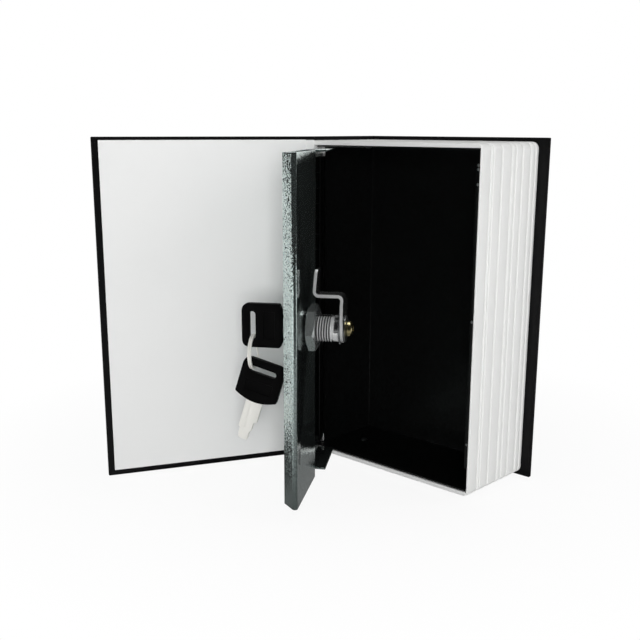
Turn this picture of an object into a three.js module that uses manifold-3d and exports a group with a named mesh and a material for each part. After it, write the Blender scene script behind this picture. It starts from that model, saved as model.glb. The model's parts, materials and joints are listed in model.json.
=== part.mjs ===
// A lockable steel box disguised as a hardback book. It stands on its lower edges with the front
// cover and the steel door open. Millimetres. X runs from the spine to the fore edge, Y from the
// opening to the back cover and Z up. The origin is the middle of the spine board's lower edge.

import * as THREE from 'three';
import { mergeVertices } from 'three/addons/utils/BufferGeometryUtils.js';
import Module from 'manifold-3d';

const wasm = await Module();
wasm.setup();

// The book's case.
const BOOK_HEIGHT = 180;
const BLOCK_WIDTH = 109;
const BLOCK_DEPTH = 50.6;
const OVERHANG = 2;
const FORE_OVERHANG = 5;
const BOARD = 2.3;
const GLUE = 0.25;
const JOINT_RADIUS = 1.1;
const PAPER = 0.25;
const TURN_IN = 3.3;
const COVER_PLAY = 0.25;
const COVER_OPEN = 116.7;

// The moulded block of pages.
const PAGE_WALL = 2.4;
const FORE_WALL = 1.1;
const SPINE_WALL = 0.7;
const PAGE_FLOOR = 2.4;
const PAGE_CORNER = 3.5;
const PAGE_LIP = 0.5;
const GROOVE_DEPTH = 0.55;
const GROOVE_WIDTH = 1.0;
const GROOVES = [8.1, 10.3, 17.8, 26.3, 30.1, 36.1, 43.6, 47.7];

// The steel box inside it.
const SEAT_GAP = 0.2;
const SHEET = 0.8;
const BOX_SETBACK = 0.8;
const SIDE_SETBACK = 7.5;
const RIVET_X = 18.6;
const RIVET_Y = 24.6;
const RIVET_HEAD_RADIUS = 2.2;
const RIVET_HEAD = 1;
const RIVET_RADIUS = 1.2;
const STRIKE_LIP = 8.8;
const STRIKE_FOOT = 7.5;
const STRIKE_HEM = 1.3;
const STRIKE_INSET = 6;

// The piano hinge. Its knuckles alternate between the two leaves.
const BARREL_RADIUS = 1.65;
const PIN_RADIUS = 0.9;
const PIN_PLAY = 0.1;
const LEAF = 0.6;
const LEAF_WIDTH = 11;
const LEAF_GAP = 0.3;
const HINGE_RECESS = 3.7;
const KNUCKLES = 19;
const KNUCKLE_GAP = 0.25;
const HINGE_START = 9.4;
const HINGE_LENGTH = 160;
const PIN_TAIL = 3;
const PIN_FOOT = 1.4;
const PIN_HEAD = 1.6;

// The door, one folded sheet.
const DOOR_SHEET = 1;
const DOOR_OPEN = 57.3;
const DOOR_PLAY = 0.5;
const DOOR_DEPTH = 8;
const PANEL_WIDTH = 91.9;
const BEVEL_WIDTH = 8.6;
const RETURN_WIDTH = 46.2;
const FOLD_RADIUS = 0.4;
const TAB_START = 11.4;
const TAB_LENGTH = 34.1;
const TAB_DEPTH = 11.5;
const TAB_TAPER = 1.3;
const STOP_GAP = 0.5;

// The cam lock.
const LOCK_REACH = 74.2;
const LOCK_HEIGHT = 90.3;
const BEZEL_RADIUS = 8.8;
const BEZEL = 2.6;
const THREAD_RADIUS = 7;
const THREAD_LENGTH = 20.2;
const TAIL_RADIUS = 6.5;
const TAIL_LENGTH = 3.2;
const FLATS = 12.4;
const HOLE_PLAY = 0.3;
const PLUG_RADIUS = 5.5;
const PLUG_PLAY = 0.15;
const NUT_FLATS = 20.3;
const NUT = 4.6;
const NUT_TURN = 21;
const NUT_SEAT = 0.6;
const NUT_SEAT_RADIUS = 9.6;
const DRIVE = 7;
const DRIVE_PLAY = 0.15;
const STOP_WASHER = 0.8;
const STOP_WASHER_RADIUS = 6.6;
const STOP_LUG = 7.3;
const STOP_TURN = 90;
const STOP_TAB = 16;
const STOP_PLAY = 1.5;
const STOP_DEPTH = 1.9;
const CAM = 1.5;
const CAM_RISE = 16.3;
const CAM_STEP = 13.7;
const CAM_REACH = 28.8;
const CAM_LEAN = 1.1;
const CAM_SHOULDER = 4;
const CAM_WIDTH = 14;
const CAM_TIP_WIDTH = 9;
const CAM_BEND = 1.8;
const WASHER = 1;
const WASHER_RADIUS = 6.9;
const SCREW_RADIUS = 1.55;
const SCREW_LENGTH = 8;
const SCREW_HEAD_RADIUS = 3.7;
const SCREW_HEAD = 3.1;
const WAFERS = 5;
const WAFER = 0.8;
const WAFER_PITCH = 2.6;
const WAFER_START = 3.4;
const WAFER_WIDTH = 6;
const RUN_GAP = 0.15;

// The two keys and their ring.
const KEY_WIDTH = 22;
const KEY_SIDE = 19.3;
const KEY_HEAD = 22;
const KEY_THICKNESS = 3.2;
const KEY_ROUND = 4.2;
const SLOT_START = 3.8;
const SLOT_WIDTH = 3.2;
const SLOT_LENGTH = 14;
const LABEL_START = 11;
const LABEL_LENGTH = 5.6;
const LABEL_WIDTH = 14;
const LABEL_DEPTH = 0.4;
const BLADE_WIDTH = 8.6;
const BLADE = 1.9;
const BLADE_LENGTH = 20.8;
const BLADE_PLAY = 0.15;
const TANG_LENGTH = 8;
const TANG_WIDTH = 6;
const KEY_SEAT = 0.3;
const RING_RADIUS = 8.1;
const RING_WIRE = 1.4;
const RING_DEPTH = 2;
const RING_HANG = 0.9;
const SPARE_TILT = 17;
const SPARE_HANG = 0.5;

// Numbers that follow from those above.
const halfBoard = BOARD / 2;
const blockLow = OVERHANG;
const blockHigh = BOOK_HEIGHT - OVERHANG;
const spineX = -halfBoard - GLUE - 0.1;
const coverAxisY = -COVER_PLAY - PAPER - GLUE - halfBoard;
const backAxisY = BLOCK_DEPTH + GLUE + halfBoard;
const boardStart = JOINT_RADIUS + GLUE;
const boardEnd = BLOCK_WIDTH + FORE_OVERHANG - spineX;
const originY = (coverAxisY + backAxisY) / 2;
const pocketRight = BLOCK_WIDTH - FORE_WALL;
const pocketLow = blockLow + PAGE_WALL;
const pocketHigh = blockHigh - PAGE_WALL;
const pocketBack = BLOCK_DEPTH - PAGE_FLOOR;
const leafX = SPINE_WALL + LEAF_GAP;
const hingeX = leafX + BARREL_RADIUS;
const hingeY = HINGE_RECESS;
const boxLeft = leafX + LEAF + LEAF_GAP;
const boxRight = pocketRight - SEAT_GAP;
const boxLow = pocketLow + SEAT_GAP;
const boxHigh = pocketHigh - SEAT_GAP;
const boxBack = pocketBack - SEAT_GAP;
const doorLow = boxLow + SHEET + DOOR_PLAY;
const doorHigh = boxHigh - SHEET - DOOR_PLAY;
const panelFront = BARREL_RADIUS - LEAF - LEAF_GAP - DOOR_SHEET;
const panelStart = BARREL_RADIUS + DOOR_PLAY;
const doorBack = panelFront + DOOR_DEPTH;
const strikeY = hingeY + doorBack + STOP_GAP;
const threadEnd = panelFront + THREAD_LENGTH;
const bodyEnd = threadEnd + TAIL_LENGTH;
const bodyFront = panelFront - GLUE - BEZEL;
const boreRadius = PLUG_RADIUS + PLUG_PLAY;
const stopWasherY = bodyEnd + RUN_GAP;
const camY = stopWasherY + STOP_WASHER + RUN_GAP;
const washerY = camY + CAM + RUN_GAP;
const screwSeat = washerY + WASHER + RUN_GAP;
const plugFront = bodyFront + 0.3;
const plugEnd = camY + CAM;
const keywayWidth = BLADE_WIDTH + 2 * BLADE_PLAY;
const keyway = BLADE + 2 * BLADE_PLAY;
const keyEnd = bodyFront - KEY_SEAT - KEY_HEAD;
const slotMiddle = SLOT_START + SLOT_WIDTH / 2;
const ringHigh = -SLOT_LENGTH / 2 + RING_HANG + RING_WIRE / 2;
const ringMiddle = ringHigh - RING_RADIUS;
const ringLow = ringMiddle - RING_RADIUS;

// The paints and surfaces.
function finish(color, roughness, metalness) {
  return new THREE.MeshStandardMaterial({ color, roughness, metalness });
}
const leatherette = finish(0x0d0d0d, 0.7, 0);
const endpaper = finish(0xe8e8e6, 0.8, 0);
const pagePlastic = finish(0xe4e4e1, 0.5, 0);
const blackPaint = finish(0x0a0b0b, 0.4, 0.3);
const hammertone = finish(0x2c3a37, 0.35, 0.5);
const zinc = finish(0xb9bcbe, 0.3, 1);
const polished = finish(0xc9ccce, 0.18, 1);
const yellowZinc = finish(0xd8c67c, 0.3, 1);
const nickel = finish(0xd6d3c8, 0.25, 1);
const keyPlastic = finish(0x101011, 0.45, 0);

// Closed geometry to a solid and back.
function solid(geometry) {
  const bare = geometry.index ? geometry.toNonIndexed() : geometry;
  bare.deleteAttribute('normal');
  bare.deleteAttribute('uv');
  const merged = mergeVertices(bare);
  const mesh = new wasm.Mesh({
    numProp: 3,
    vertProperties: new Float32Array(merged.attributes.position.array),
    triVerts: new Uint32Array(merged.index.array),
  });
  return new wasm.Manifold(mesh);
}

function surface(body) {
  const mesh = body.getMesh();
  const geometry = new THREE.BufferGeometry();
  geometry.setAttribute('position', new THREE.BufferAttribute(mesh.vertProperties, 3));
  geometry.setIndex(new THREE.BufferAttribute(mesh.triVerts, 1));
  geometry.computeVertexNormals();
  return geometry;
}

function join(bodies) {
  return bodies.reduce((whole, body) => whole.add(body));
}

function cut(body, tools) {
  return tools.reduce((whole, tool) => whole.subtract(tool), body);
}

function block(x0, x1, y0, y1, z0, z1) {
  const geometry = new THREE.BoxGeometry(x1 - x0, y1 - y0, z1 - z0);
  geometry.translate((x0 + x1) / 2, (y0 + y1) / 2, (z0 + z1) / 2);
  return solid(geometry);
}

// An outline in X and Y, raised from z0 to z1.
function upright(outline, z0, z1) {
  const shape = Array.isArray(outline) ? new THREE.Shape(outline) : outline;
  const geometry = new THREE.ExtrudeGeometry(shape, { depth: z1 - z0, bevelEnabled: false });
  geometry.translate(0, 0, z0);
  return solid(geometry);
}

// An outline in X and Z, carried along Y from y0 to y1.
function facing(outline, y0, y1) {
  const shape = Array.isArray(outline) ? new THREE.Shape(outline) : outline;
  const geometry = new THREE.ExtrudeGeometry(shape, { depth: y1 - y0, bevelEnabled: false });
  geometry.rotateX(Math.PI / 2);
  geometry.translate(0, y1, 0);
  return solid(geometry);
}

// An outline in Y and Z, carried along X from x0 to x1.
function edgeways(outline, x0, x1) {
  const shape = Array.isArray(outline) ? new THREE.Shape(outline) : outline;
  const geometry = new THREE.ExtrudeGeometry(shape, { depth: x1 - x0, bevelEnabled: false });
  geometry.applyMatrix4(new THREE.Matrix4().set(0, 0, 1, x0, 1, 0, 0, 0, 0, 1, 0, 0, 0, 0, 0, 1));
  return solid(geometry);
}

// A profile of radius and height, turned about the Y axis.
function turned(profile, sides) {
  const points = profile.map(([radius, y]) => new THREE.Vector2(radius, y));
  return solid(new THREE.LatheGeometry(points, sides));
}

function tube(inner, outer, y0, y1, sides) {
  return turned([[inner, y0], [outer, y0], [outer, y1], [inner, y1], [inner, y0]], sides);
}

function rod(radius, y0, y1, sides) {
  return turned([[0, y0], [radius, y0], [radius, y1], [0, y1]], sides);
}

function circle(radius, sides, x = 0, y = 0) {
  const points = [];
  for (let i = 0; i < sides; i += 1) {
    const angle = (2 * Math.PI * (i + 0.5)) / sides;
    points.push(new THREE.Vector2(x + radius * Math.cos(angle), y + radius * Math.sin(angle)));
  }
  return points;
}

// A sheet of even thickness along a line of corners, each corner bent to an inner radius.
function folded(corners, thickness, radius) {
  const bend = radius + thickness / 2;
  const line = [];
  corners.forEach((corner, i) => {
    const here = new THREE.Vector2(...corner);
    const before = i > 0 ? new THREE.Vector2(...corners[i - 1]).sub(here).normalize() : null;
    const after = i < corners.length - 1
      ? new THREE.Vector2(...corners[i + 1]).sub(here).normalize() : null;
    if (!before || !after) {
      const along = before ? before.clone().negate() : after.clone();
      line.push([here, new THREE.Vector2(-along.y, along.x)]);
      return;
    }
    const half = Math.acos(THREE.MathUtils.clamp(before.dot(after), -1, 1)) / 2;
    const centre = before.clone().add(after).normalize().multiplyScalar(bend / Math.sin(half)).add(here);
    const start = before.clone().multiplyScalar(bend / Math.tan(half)).add(here).sub(centre);
    const turn = before.x * after.y - before.y * after.x > 0 ? -1 : 1;
    const steps = Math.max(2, Math.ceil((Math.PI - 2 * half) / 0.45));
    for (let k = 0; k <= steps; k += 1) {
      const angle = (turn * (Math.PI - 2 * half) * k) / steps;
      const spoke = start.clone().rotateAround(new THREE.Vector2(), angle);
      const normal = spoke.clone().normalize().multiplyScalar(-turn);
      line.push([spoke.add(centre), normal]);
    }
  });
  const side = (s) => line.map(([p, n]) => p.clone().addScaledVector(n, s * thickness / 2));
  return [...side(-1), ...side(1).reverse()];
}

function place(parent, name, body, material) {
  const mesh = new THREE.Mesh(surface(body), material);
  mesh.name = name;
  parent.add(mesh);
}

function groupAt(parent, x, y, z, turnX = 0, turnZ = 0) {
  const group = new THREE.Group();
  group.position.set(x, y, z);
  group.rotation.set(THREE.MathUtils.degToRad(turnX), 0, THREE.MathUtils.degToRad(turnZ));
  parent.add(group);
  return group;
}

// The block of pages: a rounded outline that narrows at each groove, hollowed from the front.
function pageLoop(y, inset) {
  const radius = PAGE_CORNER - inset;
  const right = BLOCK_WIDTH - inset - radius;
  const low = blockLow + inset;
  const high = blockHigh - inset;
  const loop = [new THREE.Vector3(0, y, low)];
  for (let k = 0; k <= 5; k += 1) {
    const angle = (k / 5) * (Math.PI / 2);
    const x = right + radius * Math.sin(angle);
    loop.push(new THREE.Vector3(x, y, low + radius - radius * Math.cos(angle)));
  }
  for (let k = 5; k >= 0; k -= 1) {
    const angle = (k / 5) * (Math.PI / 2);
    const x = right + radius * Math.sin(angle);
    loop.push(new THREE.Vector3(x, y, high - radius + radius * Math.cos(angle)));
  }
  loop.push(new THREE.Vector3(0, y, high));
  return loop;
}

// Closed rings of equal count skinned from first to last, with both ends capped.
function lofted(loops) {
  const count = loops[0].length;
  const positions = loops.flat().flatMap((p) => [p.x, p.y, p.z]);
  const index = [];
  for (let i = 0; i < loops.length - 1; i += 1) {
    for (let j = 0; j < count; j += 1) {
      const a = i * count + j;
      const b = i * count + ((j + 1) % count);
      index.push(a, a + count, b, b, a + count, b + count);
    }
  }
  const flat = loops[0].map((p) => new THREE.Vector2(p.x, p.z));
  const last = (loops.length - 1) * count;
  THREE.ShapeUtils.triangulateShape(flat, []).forEach(([a, b, c]) => {
    index.push(a, b, c, last + a, last + c, last + b);
  });
  const geometry = new THREE.BufferGeometry();
  geometry.setAttribute('position', new THREE.Float32BufferAttribute(positions, 3));
  geometry.setIndex(index);
  return solid(geometry);
}

function pageFrame() {
  const loops = [pageLoop(0, PAGE_LIP), pageLoop(PAGE_LIP, 0)];
  GROOVES.forEach((y) => {
    loops.push(pageLoop(y - GROOVE_WIDTH / 2, 0), pageLoop(y - GROOVE_WIDTH / 6, GROOVE_DEPTH));
    loops.push(pageLoop(y + GROOVE_WIDTH / 6, GROOVE_DEPTH), pageLoop(y + GROOVE_WIDTH / 2, 0));
  });
  loops.push(pageLoop(BLOCK_DEPTH - PAGE_LIP, 0), pageLoop(BLOCK_DEPTH, PAGE_LIP));
  const pocket = block(SPINE_WALL, pocketRight, -1, pocketBack, pocketLow, pocketHigh);
  const holes = rivetPair(RIVET_RADIUS + GLUE, boxLow - SEAT_GAP, blockLow);
  return cut(lofted(loops), [pocket, ...holes]);
}

// The same upright round bar through the box's floor and, mirrored, through its ceiling.
function rivetPair(radius, high, low) {
  const outline = circle(radius, 16, RIVET_X, RIVET_Y);
  const lower = upright(outline, low - 0.5, high + 0.5);
  const upper = upright(outline, BOOK_HEIGHT - high - 0.5, BOOK_HEIGHT - low + 0.5);
  return [lower, upper];
}

function steelBox() {
  const shell = block(boxLeft, boxRight, BOX_SETBACK, boxBack, boxLow, boxHigh);
  const floor = boxLow + SHEET;
  const ceiling = boxHigh - SHEET;
  const room = block(boxLeft + SHEET, boxRight - SHEET, -1, boxBack - SHEET, floor, ceiling);
  const hingeSide = block(boxLeft - 1, boxLeft + SHEET + GLUE, -1, SIDE_SETBACK, floor, ceiling);
  return cut(shell, [room, hingeSide, ...rivetPair(RIVET_RADIUS + GLUE, floor, boxLow)]);
}

// Blind rivets through the box into the page frame, one in the floor and one in the ceiling.
function rivet() {
  const head = RIVET_HEAD;
  return turned([
    [0, -PAGE_WALL - SHEET], [RIVET_RADIUS, -PAGE_WALL - SHEET], [RIVET_RADIUS, 0.1],
    [RIVET_HEAD_RADIUS, 0.1], [RIVET_HEAD_RADIUS * 0.93, head * 0.55], [RIVET_HEAD_RADIUS * 0.6, head * 0.9],
    [0, head],
  ], 16);
}


// An angle inside the fore edge. The door stops on its lip and the cam hooks behind its hem.
function strikePlate() {
  const wall = boxRight - SHEET - 0.1 - SHEET / 2;
  const lip = wall - STRIKE_LIP;
  const front = strikeY + SHEET / 2;
  const line = [[wall, front - STRIKE_FOOT], [wall, front], [lip, front], [lip, front + STRIKE_HEM]];
  return upright(folded(line, SHEET, 0.3), doorLow + STRIKE_INSET, doorHigh - STRIKE_INSET);
}

// A hinge leaf facing Y, its barrel about the Z axis. One leaf has the odd knuckles, one the even.
function hingeLeaf(odd) {
  const pitch = HINGE_LENGTH / KNUCKLES;
  const bore = PIN_RADIUS + PIN_PLAY;
  const back = BARREL_RADIUS;
  const high = HINGE_START + HINGE_LENGTH;
  const plate = block(BARREL_RADIUS + GLUE, LEAF_WIDTH, back - LEAF, back, HINGE_START, high);
  const pieces = [plate];
  for (let k = odd; k < KNUCKLES; k += 2) {
    const z0 = HINGE_START + k * pitch + KNUCKLE_GAP / 2;
    const z1 = z0 + pitch - KNUCKLE_GAP;
    const web = block(0, LEAF_WIDTH / 2, back - LEAF, back, z0, z1);
    const roll = upright(circle(BARREL_RADIUS, 16), z0, z1);
    pieces.push(web.add(roll).subtract(upright(circle(bore, 16), z0 - 1, z1 + 1)));
  }
  return join(pieces);
}

function hingePin() {
  const low = HINGE_START - PIN_TAIL;
  const pin = upright(circle(PIN_RADIUS, 12), low, HINGE_START + HINGE_LENGTH + PIN_HEAD);
  return pin.add(upright(circle(PIN_FOOT, 16), low, HINGE_START));
}

// A Ø14 hole with two flats, so the lock body can't turn in the door.
function lockHole() {
  const round = rod(THREAD_RADIUS + HOLE_PLAY, -5, doorBack + 5, 32);
  const half = FLATS / 2 + HOLE_PLAY;
  return round.intersect(block(-9, 9, -5, doorBack + 5, -half, half)).translate([LOCK_REACH, 0, LOCK_HEIGHT]);
}

function doorPanel() {
  const front = panelFront + DOOR_SHEET / 2;
  const back = doorBack - DOOR_SHEET / 2;
  const bevel = panelStart + PANEL_WIDTH;
  const edge = bevel + BEVEL_WIDTH;
  const line = [[panelStart, front], [bevel, front], [edge, back], [edge - RETURN_WIDTH, back]];
  const sheet = upright(folded(line, DOOR_SHEET, FOLD_RADIUS), doorLow, doorHigh);
  const tabEnd = TAB_START + TAB_LENGTH;
  const tabBack = panelFront + TAB_DEPTH;
  const plan = [
    [TAB_START, panelFront], [tabEnd, panelFront], [tabEnd, tabBack], [TAB_START, tabBack - TAB_TAPER],
  ].map(([x, y]) => new THREE.Vector2(x, y));
  const tab = (z) => upright(plan, z, z + DOOR_SHEET);
  return cut(join([sheet, tab(doorLow), tab(doorHigh - DOOR_SHEET)]), [lockHole()]);
}

// A sector of a ring between two angles, measured from +Z towards +X.
function sector(inner, outer, from, to, y0, y1) {
  const at = (radius, degrees) => {
    const angle = THREE.MathUtils.degToRad(degrees);
    return new THREE.Vector2(radius * Math.sin(angle), radius * Math.cos(angle));
  };
  const steps = Math.ceil((to - from) / 15);
  const points = [];
  for (let k = 0; k <= steps; k += 1) {
    points.push(at(outer, from + ((to - from) * k) / steps));
  }
  for (let k = steps; k >= 0; k -= 1) {
    points.push(at(inner, from + ((to - from) * k) / steps));
  }
  return facing(points, y0, y1);
}

// The lock's die-cast body: a round face, a threaded barrel with a flat above and below, and a plain
// tail. A quarter of the tail's end is cut back, for the stop washer's tab to run in.
function lockBody() {
  const seat = panelFront - GLUE;
  const body = turned([
    [boreRadius, bodyFront], [BEZEL_RADIUS - 1, bodyFront],
    [BEZEL_RADIUS, bodyFront + 0.9], [BEZEL_RADIUS, seat],
    [THREAD_RADIUS, seat], [THREAD_RADIUS, threadEnd - 0.4], [TAIL_RADIUS - 0.5, threadEnd],
    [TAIL_RADIUS - 0.5, threadEnd + 0.7], [TAIL_RADIUS, threadEnd + 1], [TAIL_RADIUS, bodyEnd],
    [boreRadius, bodyEnd], [boreRadius, bodyFront],
  ], 32);
  const flat = (z) => block(-9, 9, seat, bodyEnd + 1, z, z + 4);
  const free = STOP_TAB / 2 + STOP_PLAY;
  const runStart = bodyEnd - STOP_DEPTH;
  const run = sector(boreRadius - 1, TAIL_RADIUS + 1, -free, STOP_TURN + free, runStart, bodyEnd + 1);
  return cut(body, [flat(FLATS / 2), flat(-FLATS / 2 - 4), run]);
}

function lockNut() {
  const seat = doorBack + GLUE;
  const across = NUT_FLATS / Math.sqrt(3);
  const blank = facing(circle(across, 6), seat, seat + NUT);
  const corners = turned([
    [0, seat - 1], [NUT_SEAT_RADIUS, seat - 1], [NUT_SEAT_RADIUS, seat + NUT_SEAT],
    [across, seat + NUT_SEAT], [across, seat + NUT - 0.9],
    [across - 1.5, seat + NUT], [0, seat + NUT],
  ], 32);
  const nut = blank.intersect(corners).rotate([0, -NUT_TURN, 0]);
  return nut.subtract(rod(THREAD_RADIUS + HOLE_PLAY, seat - 1, seat + NUT + 1, 32));
}

function waferPlace(k) {
  return WAFER_START + k * WAFER_PITCH;
}

// The plug turns in the body. It is slotted for the key and the wafers, and squared for the cam.
function lockPlug() {
  const shoulder = bodyEnd + RUN_GAP / 2;
  const core = rod(PLUG_RADIUS, plugFront, shoulder, 28);
  const drive = block(-DRIVE / 2, DRIVE / 2, shoulder - 1, plugEnd, -DRIVE / 2, DRIVE / 2);
  const keyDepth = bodyFront - KEY_SEAT + BLADE_LENGTH + 0.5;
  const slot = block(-keyway / 2, keyway / 2, plugFront - 1, keyDepth, -keywayWidth / 2, keywayWidth / 2);
  const tools = [slot, rod(SCREW_RADIUS + 0.1, screwSeat - SCREW_LENGTH - 0.5, plugEnd + 1, 16)];
  for (let k = 0; k < WAFERS; k += 1) {
    const y = waferPlace(k) - RUN_GAP;
    const half = WAFER_WIDTH / 2 + RUN_GAP;
    tools.push(block(-half, half, y, y + WAFER + 2 * RUN_GAP, -PLUG_RADIUS - 1, PLUG_RADIUS + 1));
  }
  return cut(join([core, drive]), tools);
}

// A flat wafer with a window that the key's blade passes through.
function lockWafer(k) {
  const y = waferPlace(k);
  const round = rod(PLUG_RADIUS - RUN_GAP, y, y + WAFER, 28);
  const strip = block(-WAFER_WIDTH / 2, WAFER_WIDTH / 2, y, y + WAFER, -PLUG_RADIUS, PLUG_RADIUS);
  const half = keyway / 2 + RUN_GAP / 2;
  const window = block(-half, half, y - 1, y + WAFER + 1, -keywayWidth / 2, keywayWidth / 2);
  return round.intersect(strip).subtract(window);
}

function squareHole(y0, y1) {
  const half = DRIVE / 2 + DRIVE_PLAY;
  return block(-half, half, y0 - 1, y1 + 1, -half, half);
}

// Its tab runs in the cut-back quarter of the lock's body and limits the lock to a quarter turn.
function stopWasher() {
  const y1 = stopWasherY + STOP_WASHER;
  const disc = rod(STOP_WASHER_RADIUS, stopWasherY, y1, 32);
  const lug = block(-2.5, 2.5, stopWasherY, y1, -STOP_LUG, 0);
  const half = STOP_TAB / 2;
  const tabEnd = bodyEnd - STOP_DEPTH + 2 * RUN_GAP;
  const tab = sector(boreRadius + 0.1, TAIL_RADIUS - 0.1, -half, half, tabEnd, y1);
  return join([disc, lug, tab]).subtract(squareHole(stopWasherY, y1));
}

// The cranked bolt. Its side profile is cut to the plan of a tapered tongue.
function cam() {
  const flat = camY + CAM / 2;
  const tip = flat - CAM_STEP;
  const line = [
    [flat, -CAM_WIDTH / 2], [flat, CAM_RISE], [tip, CAM_RISE], [tip + CAM_LEAN, CAM_REACH],
  ];
  const bar = edgeways(folded(line, CAM, CAM_BEND), -CAM_WIDTH / 2, CAM_WIDTH / 2);
  const plan = new THREE.Shape();
  plan.absarc(0, 0, CAM_WIDTH / 2, Math.PI, 2 * Math.PI, false);
  plan.lineTo(CAM_WIDTH / 2, CAM_RISE - CAM_SHOULDER);
  plan.lineTo(CAM_TIP_WIDTH / 2, CAM_RISE);
  plan.lineTo(CAM_TIP_WIDTH / 2, CAM_REACH - 1.5);
  plan.lineTo(CAM_TIP_WIDTH / 2 - 1.5, CAM_REACH);
  plan.lineTo(-CAM_TIP_WIDTH / 2 + 1.5, CAM_REACH);
  plan.lineTo(-CAM_TIP_WIDTH / 2, CAM_REACH - 1.5);
  plan.lineTo(-CAM_TIP_WIDTH / 2, CAM_RISE);
  plan.lineTo(-CAM_WIDTH / 2, CAM_RISE - CAM_SHOULDER);
  return bar.intersect(facing(plan, tip - 2, flat + 2)).subtract(squareHole(camY, camY + CAM));
}

function camWasher() {
  return tube(SCREW_RADIUS + 0.3, WASHER_RADIUS, washerY, washerY + WASHER, 28);
}

function camScrew() {
  const tip = screwSeat - SCREW_LENGTH;
  const top = screwSeat + SCREW_HEAD;
  return turned([
    [0, tip], [SCREW_RADIUS - 0.4, tip], [SCREW_RADIUS, tip + 0.6], [SCREW_RADIUS, screwSeat],
    [SCREW_HEAD_RADIUS, screwSeat], [SCREW_HEAD_RADIUS, screwSeat + 1.2],
    [SCREW_HEAD_RADIUS * 0.82, top - 0.8], [SCREW_HEAD_RADIUS * 0.45, top - 0.15], [0, top],
  ], 20);
}

// A key lies along Y from its ring end at 0, with its width along Z and its thickness along X.
function keyHead() {
  const side = KEY_WIDTH / 2;
  const shape = new THREE.Shape();
  shape.moveTo(KEY_ROUND, -side);
  shape.lineTo(KEY_SIDE - 1, -side);
  shape.quadraticCurveTo(KEY_SIDE, -side, KEY_SIDE + 0.3, -side + 1.2);
  shape.quadraticCurveTo(2 * KEY_HEAD - KEY_SIDE - 0.3, 0, KEY_SIDE + 0.3, side - 1.2);
  shape.quadraticCurveTo(KEY_SIDE, side, KEY_SIDE - 1, side);
  shape.lineTo(KEY_ROUND, side);
  shape.quadraticCurveTo(0, side, 0, side - KEY_ROUND);
  shape.lineTo(0, -side + KEY_ROUND);
  shape.quadraticCurveTo(0, -side, KEY_ROUND, -side);
  const half = KEY_THICKNESS / 2;
  const slot = new THREE.Shape();
  const end = SLOT_LENGTH / 2 - SLOT_WIDTH / 2;
  slot.absarc(slotMiddle, end, SLOT_WIDTH / 2, 0, Math.PI, false);
  slot.absarc(slotMiddle, -end, SLOT_WIDTH / 2, Math.PI, 2 * Math.PI, false);
  const labelEnd = LABEL_START + LABEL_LENGTH;
  const label = (x) => block(x, x + 1, LABEL_START, labelEnd, -LABEL_WIDTH / 2, LABEL_WIDTH / 2);
  const tang = block(
    -keyway / 2, keyway / 2, KEY_HEAD - TANG_LENGTH - BLADE_PLAY, KEY_HEAD + 1,
    -TANG_WIDTH / 2 - BLADE_PLAY, TANG_WIDTH / 2 + BLADE_PLAY,
  );
  const ringSlot = edgeways(slot, -half - 1, half + 1);
  const tools = [ringSlot, label(half - LABEL_DEPTH), label(-half + LABEL_DEPTH - 1), tang];
  return cut(edgeways(shape, -half, half), tools);
}

// A double-sided blade with its cuts down both edges and a pointed tip.
function keyBlade() {
  const root = KEY_HEAD + BLADE_PLAY;
  const tip = KEY_HEAD + BLADE_LENGTH;
  const half = BLADE_WIDTH / 2;
  const depths = [0.9, 0.5, 1.2, 0.7, 1];
  const edge = [[KEY_HEAD - TANG_LENGTH, TANG_WIDTH / 2], [root, TANG_WIDTH / 2], [root, half]];
  depths.forEach((depth, k) => {
    const y = root + 5.2 + k * WAFER_PITCH;
    edge.push([y, half], [y + 0.8, half - depth], [y + 1.6, half - depth], [y + 2.2, half - 0.1]);
  });
  edge.push([tip - 1.8, half - 0.6], [tip, 1.2]);
  const mirrored = edge.map(([y, z]) => [y, -z]).reverse();
  const points = [...edge, ...mirrored].map(([y, z]) => new THREE.Vector2(y, z)).reverse();
  return edgeways(points, -BLADE / 2, BLADE / 2);
}

function keyRing() {
  const points = [];
  for (let k = 0; k <= 8; k += 1) {
    const angle = (k % 8) * (Math.PI / 4) + Math.PI / 8;
    const x = RING_RADIUS + (RING_WIRE / 2) * Math.cos(angle) / Math.cos(Math.PI / 8);
    points.push([x, (RING_DEPTH / 2) * Math.sin(angle) / Math.cos(Math.PI / 8)]);
  }
  return turned(points, 40);
}

function caseBoards(book) {
  const front = coverAxisY + boardStart;
  const back = backAxisY - boardStart;
  const spine = block(spineX - halfBoard, spineX + halfBoard, front, back, 0, BOOK_HEIGHT);
  place(book, 'spine_board', spine, leatherette);
  const board = block(boardStart, boardEnd, -halfBoard, halfBoard, 0, BOOK_HEIGHT);
  place(groupAt(book, spineX, backAxisY, 0), 'back_cover', board, leatherette);
  const roll = () => upright(circle(JOINT_RADIUS, 12), 0, BOOK_HEIGHT);
  place(groupAt(book, spineX, backAxisY, 0), 'back_joint', roll(), leatherette);
  place(groupAt(book, spineX, coverAxisY, 0), 'front_joint', roll(), leatherette);
}

function frontCover(book) {
  const cover = groupAt(book, spineX, coverAxisY, 0, 0, -COVER_OPEN);
  const board = block(boardStart, boardEnd, -halfBoard, halfBoard, 0, BOOK_HEIGHT);
  place(cover, 'front_cover', board, leatherette);
  const face = halfBoard + GLUE;
  const high = BOOK_HEIGHT - TURN_IN;
  const sheet = block(boardStart + 0.6, boardEnd - TURN_IN, face, face + PAPER, TURN_IN, high);
  place(cover, 'front_endpaper', sheet, endpaper);
}

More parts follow.
